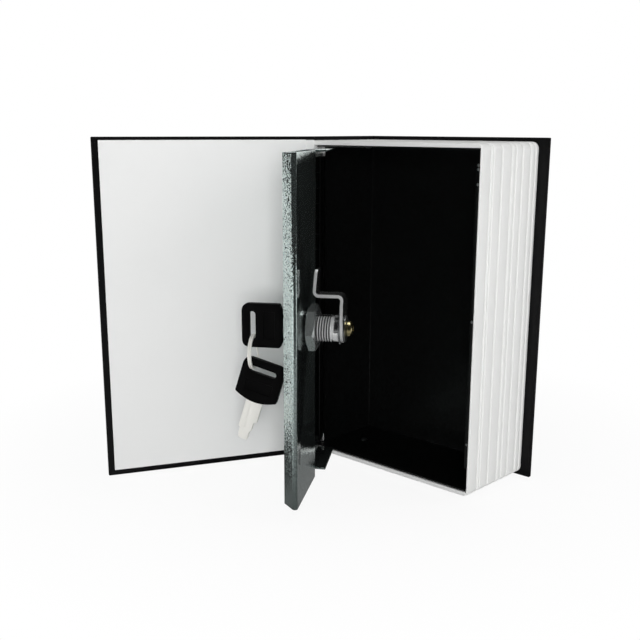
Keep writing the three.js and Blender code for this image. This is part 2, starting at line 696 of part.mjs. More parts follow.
function safeBox(book) {
  place(book, 'page_frame', pageFrame(), pagePlastic);
  place(book, 'steel_box', steelBox(), blackPaint);
  place(groupAt(book, RIVET_X, RIVET_Y, boxLow + SHEET, 90), 'lower_rivet', rivet(), zinc);
  place(groupAt(book, RIVET_X, RIVET_Y, boxHigh - SHEET, -90), 'upper_rivet', rivet(), zinc);
  place(book, 'strike_plate', strikePlate(), blackPaint);
  const barrel = groupAt(book, hingeX, hingeY, 0);
  place(groupAt(barrel, 0, 0, 0, 0, 90), 'box_hinge_leaf', hingeLeaf(0), blackPaint);
  place(barrel, 'hinge_pin', hingePin(), zinc);
}

function key(parent, name) {
  place(parent, `${name}_head`, keyHead(), keyPlastic);
  place(parent, `${name}_blade`, keyBlade(), nickel);
}

function keys(lock) {
  key(groupAt(lock, 0, keyEnd, 0), 'key');
  const ring = groupAt(lock, 0, keyEnd + slotMiddle, ringMiddle);
  place(ring, 'key_ring', keyRing(), nickel);
  const turn = -90 - SPARE_TILT;
  const slotEnd = -SLOT_LENGTH / 2 + SLOT_WIDTH / 2;
  const held = new THREE.Vector3(0, SLOT_START + RING_WIRE / 2 + SPARE_HANG, slotEnd);
  held.applyAxisAngle(new THREE.Vector3(1, 0, 0), THREE.MathUtils.degToRad(turn));
  const spare = groupAt(lock, 0, keyEnd + slotMiddle - held.y, ringLow - held.z, turn);
  key(spare, 'spare_key');
}

function steelDoor(book) {
  const door = groupAt(book, hingeX, hingeY, 0, 0, -DOOR_OPEN);
  place(door, 'door_panel', doorPanel(), hammertone);
  place(door, 'door_hinge_leaf', hingeLeaf(1), blackPaint);
  const lock = groupAt(door, LOCK_REACH, 0, LOCK_HEIGHT);
  place(lock, 'lock_body', lockBody(), polished);
  place(lock, 'lock_nut', lockNut(), polished);
  place(lock, 'lock_plug', lockPlug(), polished);
  for (let k = 0; k < WAFERS; k += 1) {
    place(lock, `wafer_${k + 1}`, lockWafer(k), nickel);
  }
  place(lock, 'stop_washer', stopWasher(), zinc);
  place(lock, 'cam', cam(), zinc);
  place(lock, 'cam_washer', camWasher(), zinc);
  place(lock, 'cam_screw', camScrew(), yellowZinc);
  keys(lock);
}

const book = new THREE.Group();
book.position.set(-spineX, -originY, 0);
caseBoards(book);
frontCover(book);
safeBox(book);
steelDoor(book);

export default book;
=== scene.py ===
import json
import math

import bmesh
import bpy
from mathutils import Matrix, Vector


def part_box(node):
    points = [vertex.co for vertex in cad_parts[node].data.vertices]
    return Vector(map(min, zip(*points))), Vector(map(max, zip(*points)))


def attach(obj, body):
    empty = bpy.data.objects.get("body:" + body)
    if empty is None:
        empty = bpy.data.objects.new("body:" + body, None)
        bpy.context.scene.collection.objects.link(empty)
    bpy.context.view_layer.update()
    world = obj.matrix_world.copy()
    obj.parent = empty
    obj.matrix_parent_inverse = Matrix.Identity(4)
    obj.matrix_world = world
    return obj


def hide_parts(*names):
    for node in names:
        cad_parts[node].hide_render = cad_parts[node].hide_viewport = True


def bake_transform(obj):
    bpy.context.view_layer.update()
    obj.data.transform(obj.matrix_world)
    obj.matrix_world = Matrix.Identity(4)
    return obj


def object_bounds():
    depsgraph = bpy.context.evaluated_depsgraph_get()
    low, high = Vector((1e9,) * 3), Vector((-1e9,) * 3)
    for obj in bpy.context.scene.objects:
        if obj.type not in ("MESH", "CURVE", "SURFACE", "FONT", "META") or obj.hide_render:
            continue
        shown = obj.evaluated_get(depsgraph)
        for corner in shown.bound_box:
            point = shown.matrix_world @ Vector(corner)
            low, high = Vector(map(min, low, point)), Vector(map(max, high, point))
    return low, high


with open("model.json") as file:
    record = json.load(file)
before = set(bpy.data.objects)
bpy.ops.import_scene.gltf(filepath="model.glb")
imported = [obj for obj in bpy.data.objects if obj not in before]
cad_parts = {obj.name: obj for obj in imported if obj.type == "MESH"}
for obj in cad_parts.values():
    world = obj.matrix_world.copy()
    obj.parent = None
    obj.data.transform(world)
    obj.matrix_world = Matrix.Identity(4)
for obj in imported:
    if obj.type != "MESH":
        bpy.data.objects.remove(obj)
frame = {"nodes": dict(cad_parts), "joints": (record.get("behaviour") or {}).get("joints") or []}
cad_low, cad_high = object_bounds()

# The studio: a white table in front of a white wall, in a dark room. The camera stands in front of
# the book's open side and looks a little down. The lamps hang in front, behind, to the left and above.
CAMERA_PLACE = (0.356187, -0.395289, 0.184959)
CAMERA_PITCH = 13.733
CAMERA_HEADING = 43.523
CAMERA_ROLL = 0.124
LENS = 51.896
SENSOR = 36
SHIFT = (0.0052, 0.0506)
FLOOR_DROP = 0.0002
FLOOR_SIDE = 12.0
SHADOW_SHARE = 0.09
SHADOW_START = 0.1
SHADOW_REACH = 0.24
ROOM_LIGHT = 0.1
ROOM_GREY = 0.012
DIM_WAY = (0.906, -0.423, 0)
LAMP_AIM = (0.03, 0, 0.09)
WHITE = (1, 1, 1, 1)

scene = bpy.context.scene
scene.view_settings.view_transform = "Standard"
camera = bpy.data.objects.new("camera", bpy.data.cameras.new("camera"))
camera.data.lens = LENS
camera.data.sensor_width = SENSOR
camera.data.clip_start = 0.01
camera.data.shift_x, camera.data.shift_y = SHIFT
camera.location = CAMERA_PLACE
heading, tilt, roll = (math.radians(angle) for angle in (CAMERA_HEADING, 90 - CAMERA_PITCH, CAMERA_ROLL))
aim = Matrix.Rotation(heading, 3, "Z") @ Matrix.Rotation(tilt, 3, "X") @ Matrix.Rotation(roll, 3, "Z")
camera.rotation_euler = aim.to_euler()
scene.collection.objects.link(camera)
scene.camera = camera
towards_camera = (math.sin(heading), -math.cos(heading), 0)


class Wire:
    """A value on its way through a node tree, so that maths on it can be written as Python."""

    def __init__(self, nodes, socket):
        self.maths = nodes.maths
        self.socket = socket

    def __add__(self, other):
        return self.maths("ADD", self, other)

    def __sub__(self, other):
        return self.maths("SUBTRACT", self, other)

    def __rsub__(self, other):
        return self.maths("SUBTRACT", other, self)

    def __mul__(self, other):
        return self.maths("MULTIPLY", self, other)

    def __pow__(self, other):
        return self.maths("POWER", self, other)

    __radd__ = __add__
    __rmul__ = __mul__


class Nodes:
    """A tree of shader nodes. node() adds one and gives an output of it back as a Wire."""

    def __init__(self, tree):
        self.tree = tree

    def node(self, kind, settings=None, inputs=None, output=0):
        made = self.tree.nodes.new("ShaderNode" + kind)
        for name, value in (settings or {}).items():
            if name == "stops":
                while len(made.color_ramp.elements) < len(value):
                    made.color_ramp.elements.new(0.5)
                for element, (position, grey) in zip(made.color_ramp.elements, value):
                    element.position = position
                    element.color = (grey, grey, grey, 1)
            else:
                setattr(made, name, value)
        for name, value in (inputs or {}).items():
            self.feed(made.inputs[name], value)
        return Wire(self, made.outputs[output])

    def feed(self, socket, value):
        if isinstance(value, Wire):
            self.tree.links.new(value.socket, socket)
        else:
            socket.default_value = value

    def place(self):
        return self.node("TexCoord", output="Object")

    def facing(self):
        return self.node("TexCoord", output="Normal")

    def noise(self, scale, detail=2.0, vector=None, output=0):
        inputs = {"Vector": vector or self.place(), "Scale": scale, "Detail": detail}
        return self.node("TexNoise", {}, inputs, output)

    def cells(self, scale, smoothness, vector=None):
        inputs = {"Vector": vector or self.place(), "Scale": scale, "Smoothness": smoothness}
        return self.node("TexVoronoi", {"feature": "SMOOTH_F1"}, inputs)

    def ramp(self, value, *stops):
        return self.node("ValToRGB", {"stops": stops}, {"Fac": value})

    def maths(self, operation, *values):
        return self.node("Math", {"operation": operation}, dict(enumerate(values)))

    def vector(self, operation, *values, output=0):
        return self.node("VectorMath", {"operation": operation}, dict(enumerate(values)), output)

    def scaled(self, vector, scale):
        return self.node("VectorMath", {"operation": "SCALE"}, {0: vector, "Scale": scale})

    def along(self, vector, direction):
        return self.vector("DOT_PRODUCT", vector, direction, output="Value")

    def mixed(self, share, first, second):
        """Two colours mixed. They go into a Mix node as inputs 6 and 7, and come out as output 2."""
        return self.node("Mix", {"data_type": "RGBA"}, {0: share, 6: first, 7: second}, 2)


class Finish(Nodes):
    """A material, with its constants set on the shader's own sockets."""

    def __init__(self, name, **constants):
        self.material = bpy.data.materials.new(name)
        self.material.use_nodes = True
        super().__init__(self.material.node_tree)
        self.shader = self.tree.nodes["Principled BSDF"]
        self.surface(**constants)

    def surface(self, **values):
        for name, value in values.items():
            self.feed(self.shader.inputs[name.replace("_", " ")], value)

    def bump(self, height, distance, strength):
        inputs = {"Height": height, "Distance": distance, "Strength": strength}
        self.surface(Normal=self.node("Bump", {}, inputs))


def shown_rays(nodes):
    """1 for what the camera sees, straight, through glass or in a mirror, and 0 for light on its way."""
    seen, mirrored, through = (
        nodes.node("LightPath", output=f"Is {ray} Ray") for ray in ("Camera", "Glossy", "Transmission")
    )
    return nodes.maths("MINIMUM", seen + mirrored + through, 1.0), mirrored


def lay_floor():
    """White to the eye, with a trace of shadow. In mirrors it glows with painted shade: dim near the object
    and along DIM_WAY.
    """
    sweep = Finish("sweep", Base_Color=(0.9, 0.9, 0.9, 1), Roughness=0.9, Specular_IOR_Level=0.0)
    shown, mirrored = shown_rays(sweep)
    place = sweep.place()
    distance = sweep.vector("LENGTH", place, output="Value")
    # What mirrors see of the floor is painted shade and light: a dark pool close round the object, brighter
    # further out, and a dark patch towards DIM_WAY.
    painted_shade_pool = sweep.ramp(
        distance, (0.108, 0.04), (0.118, 0.17), (0.14, 0.37), (0.16, 0.49), (0.3, 0.76), (0.43, 0.9)
    )
    painted_front_shade = sweep.ramp(distance, (0.095, 0.17), (0.12, 0.08), (0.2, 0.26), (0.34, 0.22), (0.5, 0.03))
    dim = sweep.ramp(sweep.along(sweep.vector("NORMALIZE", place), DIM_WAY), (0.6, 0.0), (0.75, 1.0))
    look = sweep.mixed(mirrored, WHITE, sweep.mixed(dim, painted_shade_pool, painted_front_shade))
    glow = sweep.node("Emission", {}, {"Color": look, "Strength": 1.0})
    near = sweep.ramp(distance, (SHADOW_START, 1.0), (SHADOW_REACH, 0.0))
    share = shown * (1.0 - near * SHADOW_SHARE * (1.0 - mirrored))
    lit = Wire(sweep, sweep.shader.outputs[0])
    mix = sweep.node("MixShader", {}, {0: share, 1: lit, 2: glow})
    sweep.feed(sweep.tree.nodes["Material Output"].inputs["Surface"], mix)
    half = FLOOR_SIDE / 2
    corners = [(-half, -half), (half, -half), (half, half), (-half, half)]
    mesh = bpy.data.meshes.new("floor")
    mesh.from_pydata([(x, y, -FLOOR_DROP) for x, y in corners], [], [(0, 1, 2, 3)])
    mesh.materials.append(sweep.material)
    floor = bpy.data.objects.new("floor", mesh)
    scene.collection.objects.link(floor)


def light_room():
    """Dark to the eye and in mirrors, but for the wall behind the book, with a faint even light."""
    world = bpy.data.worlds.new("room")
    world.use_nodes = True
    scene.world = world
    room = Nodes(world.node_tree)
    way = room.node("TexCoord", output="Generated")
    height = room.node("SeparateXYZ", {}, {"Vector": way}, "Z")
    wall = room.ramp(0.0 - room.along(way, towards_camera), (0.6, 0.0), (0.85, 1.0))
    wall = wall * room.ramp(height, (0.3, 1.0), (0.5, 0.0))
    look = room.mixed(wall, (ROOM_GREY, ROOM_GREY, ROOM_GREY, 1), WHITE)
    seen = room.node("Background", {}, {"Color": look, "Strength": 1.0})
    soft = room.node("Background", {}, {"Color": WHITE, "Strength": ROOM_LIGHT})
    mix = room.node("MixShader", {}, {0: shown_rays(room)[0], 1: soft, 2: seen})
    room.feed(world.node_tree.nodes["World Output"].inputs["Surface"], mix)


def hang_lamp(name, place, side, watts, glossy):
    data = bpy.data.lights.new(name, "AREA")
    data.shape = "SQUARE"
    data.size = side
    data.energy = watts
    lamp = bpy.data.objects.new(name, data)
    lamp.location = place
    lamp.rotation_euler = (Vector(LAMP_AIM) - Vector(place)).to_track_quat("-Z", "Y").to_euler()
    lamp.visible_glossy = glossy
    scene.collection.objects.link(lamp)


lay_floor()
light_room()
for lamp in (
    ("low_front_light", (0.9, -1.0, 0.3), 0.4, 10.6, False),
    ("high_front_light", (0.8, -0.9, 1.2), 0.9, 1.5, False),
    ("back_light", (1.1, 0.6, 0.6), 0.9, 3.6, False),
    ("left_light", (-0.9, -1.1, 0.6), 0.9, 1.0, False),
    ("top_light", (0.1, 0.3, 1.5), 0.9, 6.5, True),
):
    hang_lamp(*lamp)

# The two covers and the spine are greyboard wrapped in black leatherette, with the leatherette
# turned in over the edges. Their corners are square and their edges softly rounded.
MM = 0.001
X_AXIS, Y_AXIS, Z_AXIS = (1, 0, 0), (0, 1, 0), (0, 0, 1)
COVER_OPEN = 116.7
BOARD = 2.3
BOARD_ROUND = 0.55
BOARD_START = 1.35
BOARD_LENGTH = 114.15
BOOK_HEIGHT = (cad_high.z - cad_low.z) / MM
SPINE_DEPTH = 51.2
PEBBLES = 1150.0
PEBBLE_DEPTH = 0.00012
joints = {joint["name"]: joint for joint in frame["joints"]}


def frame_at(origin, x_axis, y_axis):
    """Millimetres along x_axis, y_axis and up, from a point given in metres."""
    x, y = Vector(x_axis), Vector(y_axis)
    place = Matrix((x, y, x.cross(y))).transposed().to_4x4()
    place.translation = origin
    return place @ Matrix.Scale(MM, 4)


def box_of(node):
    """A CAD node's box in millimetres."""
    return [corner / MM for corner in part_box(node)]


def new_piece(name, shape, place):
    bmesh.ops.recalc_face_normals(shape, faces=shape.faces)
    shape.transform(place)
    mesh = bpy.data.meshes.new(name)
    shape.to_mesh(mesh)
    shape.free()
    piece = bpy.data.objects.new(name, mesh)
    scene.collection.objects.link(piece)
    return piece


def settle(piece):
    """Makes what the modifiers give the piece's own mesh."""
    evaluated = piece.evaluated_get(bpy.context.evaluated_depsgraph_get())
    mesh = bpy.data.meshes.new_from_object(evaluated)
    piece.modifiers.clear()
    piece.data = mesh
    return piece


def soften(piece, width, segments=3, angle=30):
    bevel = piece.modifiers.new("edges", "BEVEL")
    bevel.width = width * MM
    bevel.segments = segments
    bevel.limit_method = "ANGLE"
    bevel.angle_limit = math.radians(angle)
    return settle(piece)


def smooth(piece, angle=32):
    piece.data.shade_smooth()
    piece.data.set_sharp_from_angle(angle=math.radians(angle))
    return piece


def coat(piece, finish):
    piece.data.materials.clear()
    piece.data.materials.append(finish.material)


def carry(piece, finish, slot, body, *stands_for):
    """Gives the piece its finish, and the body and the CAD nodes that it stands for."""
    coat(piece, finish)
    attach(piece, body)
    if stands_for:
        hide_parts(*stands_for)


def box_shape(low, high):
    shape = bmesh.new()
    bmesh.ops.create_cube(shape, size=1)
    size = [b - a for a, b in zip(low, high)]
    middle = [(a + b) / 2 for a, b in zip(low, high)]
    shape.transform(Matrix.Translation(middle) @ Matrix.Diagonal((*size, 1)))
    return shape


def plate(name, low, high, place):
    return new_piece(name, box_shape(low, high), place)


def leatherette_finish():
    """Fine pebbles crossed by creases, a little shinier where hands have rubbed it."""
    finish = Finish("black_leatherette", Specular_IOR_Level=0.2)
    pebble = finish.cells(PEBBLES, 0.5)
    creases = finish.noise(420.0, 4.0)
    wear = finish.noise(35.0, 3.0)
    finish.surface(
        Base_Color=finish.mixed(wear, (0.003, 0.003, 0.0033, 1), (0.006, 0.006, 0.0063, 1)),
        Roughness=0.5 + 0.2 * wear,
    )
    finish.bump(pebble * 0.7 + creases * 0.6, PEBBLE_DEPTH, 0.7)
    return finish


def wrapped_board(name, low, high, place, body, node):
    board = soften(plate(name, low, high, place), BOARD_ROUND, 4)
    carry(smooth(board), leatherette, "leatherette", body, node)


leatherette = leatherette_finish()
turn = math.radians(-COVER_OPEN)
cover_place = frame_at(
    joints["cover_hinge"]["pos_m"],
    (math.cos(turn), math.sin(turn), 0),
    (-math.sin(turn), math.cos(turn), 0),
)
back_axis = sum(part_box("back_joint"), Vector()) / 2
back_place = frame_at((back_axis.x, back_axis.y, 0), X_AXIS, Y_AXIS)
half_board = BOARD / 2
cover_low = (BOARD_START, -half_board, 0)
cover_high = (BOARD_START + BOARD_LENGTH, half_board, BOOK_HEIGHT)
spine_low = (-half_board, -SPINE_DEPTH / 2, 0)
spine_high = (half_board, SPINE_DEPTH / 2, BOOK_HEIGHT)
spine_place = frame_at((0, 0, 0), X_AXIS, Y_AXIS)
wrapped_board("wrapped_front_cover", cover_low, cover_high, cover_place, "cover", "front_cover")
wrapped_board("wrapped_back_cover", cover_low, cover_high, back_place, "book", "back_cover")
wrapped_board("wrapped_spine", spine_low, spine_high, spine_place, "book", "spine_board")

# Each board is joined to the spine by the leatherette alone, folded along a round groove. On the book the
# front one bends as the cover swings; here it is made as it lies with the cover open and is not joined to
# the cover's body. The back one never moves.
JOINT_STEPS = 8
JOINT_ROWS = 24
JOINT_SAG = 0.32
JOINT_INSET = 0.04


def loft(outlines, closed=False):
    """A skin over a row of outlines, with both ends capped, or the last one joined to the first."""
    shape = bmesh.new()
    rings = [[shape.verts.new(point) for point in outline] for outline in outlines]
    count = len(rings[0])
    for near, far in zip(rings, rings[1:] + rings[:1] if closed else rings[1:]):
        for k in range(count):
            nxt = (k + 1) % count
            shape.faces.new((near[k], near[nxt], far[nxt], far[k]))
    if not closed:
        shape.faces.new(rings[0])
        shape.faces.new(rings[-1])
    return shape


def upright(name, plan, levels, place):
    """A plan in X and Y, drawn up through the levels."""
    return new_piece(name, loft([[(x, y, z) for x, y in plan] for z in levels]), place)


def there_and_back(steps):
    """Shares of the way along the one side of a strip, and back along the other."""
    shares = [step / steps for step in range(steps + 1)]
    return [(0, share) for share in shares] + [(1, 1 - share) for share in shares]


def joint_skin(name, spine_side, cover_side, place):
    """A strip of even depth from one board edge to the other. Each side is (outer, inner) in X and Y."""
    plan = []
    for side, share in there_and_back(JOINT_STEPS):
        sag = JOINT_SAG * math.sin(math.pi * share)
        plan.append(spine_side[side].lerp(cover_side[side], share).lerp(Vector((0, 0)), sag))
    levels = [BOOK_HEIGHT * row / JOINT_ROWS for row in range(JOINT_ROWS + 1)]
    return smooth(upright(name, plan, levels, place), 60)


def board_edge(direction, side):
    """The two corners of a board's edge near the joint, outer first. The board runs along direction."""
    along = Vector((math.cos(direction), math.sin(direction)))
    edge = along * (BOARD_START + BOARD_ROUND)
    depth = Vector((-along.y, along.x)) * side * (half_board - JOINT_INSET)
    return edge - depth, edge + depth


front_place = frame_at(joints["cover_hinge"]["pos_m"], X_AXIS, Y_AXIS)
front_skin = joint_skin("front_joint_skin", board_edge(math.pi / 2, -1), board_edge(turn, 1), front_place)
coat(front_skin, leatherette)
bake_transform(front_skin)
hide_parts("front_joint")
back_skin = joint_skin("back_joint_skin", board_edge(-math.pi / 2, 1), board_edge(0, -1), back_place)
carry(back_skin, leatherette, "leatherette", "book", "back_joint")

# The inside of the front cover is lined with a sheet of white paper. It covers the turned-in
# leatherette up to a black margin, and runs over the joint to the edge of the page block.
PAPER = 0.25
PAPER_LIFT = 0.25
PAPER_START = 2.0
PAPER_ROUND = 0.1
MARGIN_FORE = 3.3
MARGIN_LOW = 3.1
MARGIN_HIGH = 1.7
FOLD_STEPS = 12
FOLD_RISE = 0.5
FOLD_TRIM = 0.2
FOLD_END = (0.9, -0.02, 0)


def paper_finish():
    """Uncoated white paper, a little uneven where it is pasted down."""
    finish = Finish("lining_paper", Roughness=0.75, Specular_IOR_Level=0.3)
    fibres = finish.noise(2400.0, 3.0)
    clouds = finish.noise(18.0, 2.0)
    finish.surface(Base_Color=finish.mixed(clouds, (0.80, 0.805, 0.80, 1), (0.84, 0.84, 0.835, 1)))
    finish.bump(fibres + clouds * 2.0, 0.00004, 0.5)
    return finish


def lining_over_joint():
    """From the lining's inner edge, over the joint in a low fold, to the lip of the page block."""
    start = cover_place @ Vector((PAPER_START, lining_face, 0)) / MM
    end = Vector((page_low.x, page_low.y, 0)) + Vector(FOLD_END)
    outward = Vector((end.y - start.y, start.x - end.x, 0)).normalized()
    plan = []
    for side, share in there_and_back(FOLD_STEPS):
        fold = FOLD_RISE * math.sin(2 * math.pi * share) * (1 - share)
        plan.append((start.lerp(end, share) + outward * (fold - side * PAPER)).xy)
    levels = (MARGIN_LOW + FOLD_TRIM, BOOK_HEIGHT - MARGIN_HIGH - FOLD_TRIM)
    strip = smooth(upright("lining_over_joint", plan, levels, Matrix.Scale(MM, 4)), 40)
    coat(strip, lining_paper)
    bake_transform(strip)


page_low, page_high = box_of("page_frame")
lining_paper = paper_finish()
lining_face = half_board + PAPER_LIFT + PAPER
lining = plate(
    "cover_lining",
    (PAPER_START, half_board, MARGIN_LOW),
    (BOARD_START + BOARD_LENGTH - MARGIN_FORE, lining_face, BOOK_HEIGHT - MARGIN_HIGH),
    cover_place,
)
carry(smooth(soften(lining, PAPER_ROUND, 2)), lining_paper, "endpaper", "cover", "front_endpaper")
lining_over_joint()

# The page block is one white moulding. Grooves round its three open edges stand for the leaves,
# with the bands between them slightly crowned, and a deep pocket holds the steel box.
GROOVES = (8.1, 10.3, 17.8, 26.3, 30.1, 36.1, 43.6, 47.7)
GROOVE_DEPTH = 0.85
GROOVE_WIDTH = 0.32
BAND_CROWN = 0.22
BLOCK_DEPTH = 50.6
BLOCK_WIDTH = 109.0
PAGE_LIP = 0.5
PAGE_CORNER = 3.5
PAGE_STEP = 0.1
CORNER_STEPS = 12
SPINE_WALL = 0.7
FORE_WALL = 1.1
PAGE_WALL = 2.4
PAGE_FLOOR = 2.4


def arc(centre, radius, start, sweep, steps):
    """Points round a centre, with the angles in degrees."""
    x, y = centre
    angles = [math.radians(start + sweep * k / steps) for k in range(steps + 1)]
    return [(x + radius * math.cos(angle), y + radius * math.sin(angle)) for angle in angles]


def page_inset(y):
    """How far the outline steps in at depth y: at the lips, in each groove, and over each band's crown."""
    edge = min(y, BLOCK_DEPTH - y)
    inset = 0.0
    if edge < PAGE_LIP:
        inset = PAGE_LIP - math.sqrt(PAGE_LIP ** 2 - (PAGE_LIP - edge) ** 2)
    for groove in GROOVES:
        inset += GROOVE_DEPTH * math.exp(-(((y - groove) / GROOVE_WIDTH) ** 2))
    bounds = (0.0, *GROOVES, BLOCK_DEPTH)
    for low, high in zip(bounds, bounds[1:]):
        if low < y < high:
            inset += BAND_CROWN * (2 * (y - low) / (high - low) - 1) ** 2
    return inset


def page_outline(y):
    inset = page_inset(y)
    low, high = page_low.z + inset, page_high.z - inset
    turn_x = BLOCK_WIDTH - inset - PAGE_CORNER
    side = [(0, low)] + arc((turn_x, low + PAGE_CORNER), PAGE_CORNER, -90, 90, CORNER_STEPS)
    side += arc((turn_x, high - PAGE_CORNER), PAGE_CORNER, 0, 90, CORNER_STEPS) + [(0, high)]
    return [(x, y, z) for x, z in side]


def carve(piece, tool, operation="DIFFERENCE"):
    cut = piece.modifiers.new("cut", "BOOLEAN")
    cut.operation = operation
    cut.object = tool
    cut.solver = "EXACT"
    settle(piece)
    bpy.data.objects.remove(tool)


def page_finish():
    """White plastic with the faint unevenness of a moulding."""
    finish = Finish("moulded_white_plastic", Specular_IOR_Level=0.4)
    skin = finish.noise(900.0, 3.0)
    cloud = finish.noise(26.0, 2.0)
    finish.surface(
        Base_Color=finish.mixed(cloud, (0.77, 0.775, 0.765, 1), (0.82, 0.82, 0.81, 1)),
        Roughness=0.38 + 0.14 * skin,
    )
    finish.bump(skin + cloud * 2.0, 0.00003, 0.5)
    return finish


block_place = frame_at((page_low.x * MM, page_low.y * MM, 0), X_AXIS, Y_AXIS)
page_steps = round(BLOCK_DEPTH / PAGE_STEP)
page_depths = [BLOCK_DEPTH * k / page_steps for k in range(page_steps + 1)]
page_block = new_piece("page_block", loft([page_outline(y) for y in page_depths]), block_place)
pocket_low = (SPINE_WALL, -1, page_low.z + PAGE_WALL)
pocket_high = (BLOCK_WIDTH - FORE_WALL, BLOCK_DEPTH - PAGE_FLOOR, page_high.z - PAGE_WALL)
carve(page_block, plate("pocket", pocket_low, pocket_high, block_place))
carry(smooth(page_block, 28), page_finish(), "page_plastic", "book", "page_frame")

# The box is a folded tray of thin sheet steel in black hammered enamel. Its side by the hinge stops
# short, to leave room for the leaf and the barrel.
SHEET = 0.8
TRAY_ROUND = 1.6
SIDE_SETBACK = 7.5
SIDE_GAP = 0.25
CALM = 0.25


def hammered_finish(name, colours, cell, lean, roughness, metallic, calm_side=None):
    """Stove enamel that dries in small domes, darker and duller between them. It is calmer on calm_side."""
    finish = Finish(name, Coat_Roughness=0.12, Specular_IOR_Level=0.5, Metallic=metallic)
    drift = finish.noise(0.35 / cell, 2.0, output="Color")
    bent = finish.vector("ADD", finish.place(), finish.scaled(drift, 1.3 * cell))
    fine = finish.noise(2.2 / cell, 3.0)
    pits = finish.ramp(finish.cells(1 / cell, 0.35, bent) + 0.25 * fine, (0.42, 0.0), (0.78, 1.0))
    finish.surface(
        Base_Color=finish.mixed(pits, *colours),
        Roughness=roughness + 0.1 * pits,
        Coat_Weight=0.4 - 0.3 * pits,
    )
    if calm_side is not None:
        turned_to = finish.along(finish.facing(), calm_side)
        lean = lean * finish.ramp(0.5 + 0.5 * turned_to, (0.15, 1.0), (0.27, CALM))
    slope = finish.vector("SUBTRACT", finish.noise(1 / cell, 1.0, bent, "Color"), (0.5, 0.5, 0.5))
    straight = finish.node("NewGeometry", output="Normal")
    leaning = finish.vector("ADD", straight, finish.scaled(slope, lean))
    finish.surface(Normal=finish.vector("NORMALIZE", leaning))
    return finish


def steel_tray():
    shape = box_shape(tray_low, tray_high)
    front = min(shape.faces, key=lambda face: face.calc_center_median().y)
    bmesh.ops.delete(shape, geom=[front], context="FACES")
    inner = [edge for edge in shape.edges if not edge.is_boundary]
    bmesh.ops.bevel(shape, geom=inner, offset=TRAY_ROUND, segments=5, affect="EDGES", profile=0.5)
    tray = new_piece("steel_tray", shape, Matrix.Scale(MM, 4))
    middle = (tray_low + tray_high) / 2 * MM
    if sum((face.center - middle).dot(face.normal) for face in tray.data.polygons) < 0:
        tray.data.flip_normals()
    wall = tray.modifiers.new("sheet", "SOLIDIFY")
    wall.thickness = SHEET * MM
    wall.offset = -1
    wall.use_even_offset = True
    settle(tray)
    low = (tray_low.x - 1, tray_low.y - 1, tray_low.z + SHEET)
    high = (tray_low.x + SHEET + SIDE_GAP, page_low.y + SIDE_SETBACK, tray_high.z - SHEET)
    carve(tray, plate("setback", low, high, Matrix.Scale(MM, 4)))
    carry(smooth(tray, 40), black_enamel, "black_paint", "book", "steel_box")


black_enamel = hammered_finish(
    "black_hammered_enamel", ((0.0035, 0.004, 0.004, 1), (0.002, 0.002, 0.002, 1)), 0.0016, 0.25, 0.3, 0.0
)
tray_low, tray_high = box_of("steel_box")
steel_tray()

# An angle is spot-welded inside the fore edge. The door closes against its lip, and some of the weld
# marks show bright through the enamel near the top.
WELDS = (167.2, 165.2, 158.0, 90.0, 25.0)
WELD_RADIUS = 0.75
WELD_RISE = 0.22
WELD_PLACE = (1.7, 7.1)


def metal_finish(name, colour, roughness, grain, stain, metallic=1.0):
    """Plated metal with fine scratches and a patchy, slightly duller bloom."""
    finish = Finish(name, Metallic=metallic, Specular_IOR_Level=0.5)
    scratches = finish.noise(grain, 4.0)
    bloom = finish.noise(140.0, 3.0)
    dull = tuple(c * stain for c in colour)
    finish.surface(
        Base_Color=finish.mixed(bloom, (*colour, 1), (*dull, 1)),
        Roughness=roughness - 0.06 + 0.16 * bloom + 0.08 * scratches,
    )
    finish.bump(scratches, 0.00002, 0.35)
    return finish


def turned(name, profile, place, sides=64):
    """A profile of (radius, y) turned about Y. It starts and ends on the axis, or closes on itself."""
    shape = bmesh.new()
    rings = []
    for radius, y in profile:
        ring = [(radius * math.cos(angle), y, radius * math.sin(angle))
                for angle in (2 * math.pi * k / sides for k in range(sides))]
        rings.append([shape.verts.new(point) for point in (ring if radius else [(0, y, 0)])])
    closed = profile[0][0] > 0
    for near, far in zip(rings, rings[1:] + rings[:1] if closed else rings[1:]):
        for k in range(sides):
            nxt = (k + 1) % sides
            if len(near) == 1:
                shape.faces.new((near[0], far[nxt], far[k]))
            elif len(far) == 1:
                shape.faces.new((near[k], near[nxt], far[0]))
            else:
                shape.faces.new((near[k], near[nxt], far[nxt], far[k]))
    return new_piece(name, shape, place)


def weld_marks():
    low = box_of("strike_plate")[0]
    profile = [(0, -WELD_RISE), (WELD_RADIUS * 0.5, 0.02 - WELD_RISE),
               (WELD_RADIUS * 0.85, 0.1 - WELD_RISE), (WELD_RADIUS, 0.0), (0, 0.0)]
    for number, z in enumerate(WELDS, 1):
        place = Matrix.Scale(MM, 4) @ Matrix.Translation((low.x + WELD_PLACE[0], low.y + WELD_PLACE[1], z))
        carry(smooth(turned(f"weld_mark_{number}", profile, place, 20)), zinc, "zinc", "book")


zinc = metal_finish("bright_zinc", (0.74, 0.76, 0.77), 0.26, 2600.0, 0.82)
coat(frame["nodes"]["strike_plate"], black_enamel)
weld_marks()

# A blind rivet fixes the floor of the tray to the page block, and another fixes its top. Each is zinc
# plated, with a low round head, and a dimple where the pin broke off.
RIVET_RISE = 1.0
RIVET_PROFILE = ((0, -1.5), (1.1, -1.5), (1.1, 0.02), (2.2, 0.02), (2.2, 0.16), (2.0, 0.5), (1.55, 0.82),
                 (1.0, 0.97), (0.62, RIVET_RISE), (0.55, 0.86), (0.5, 0.6), (0, 0.55))

for node, up in (("lower_rivet", 1), ("upper_rivet", -1)):
    rivet_low, rivet_high = box_of(node)
    seat = (rivet_low + rivet_high) / 2
    seat.z = rivet_high.z - RIVET_RISE if up > 0 else rivet_low.z + RIVET_RISE
    rivet = turned(node + "_head", RIVET_PROFILE, frame_at(seat * MM, X_AXIS, (0, 0, up)), 40)
    carry(smooth(rivet, 50), zinc, "zinc", "book", node)

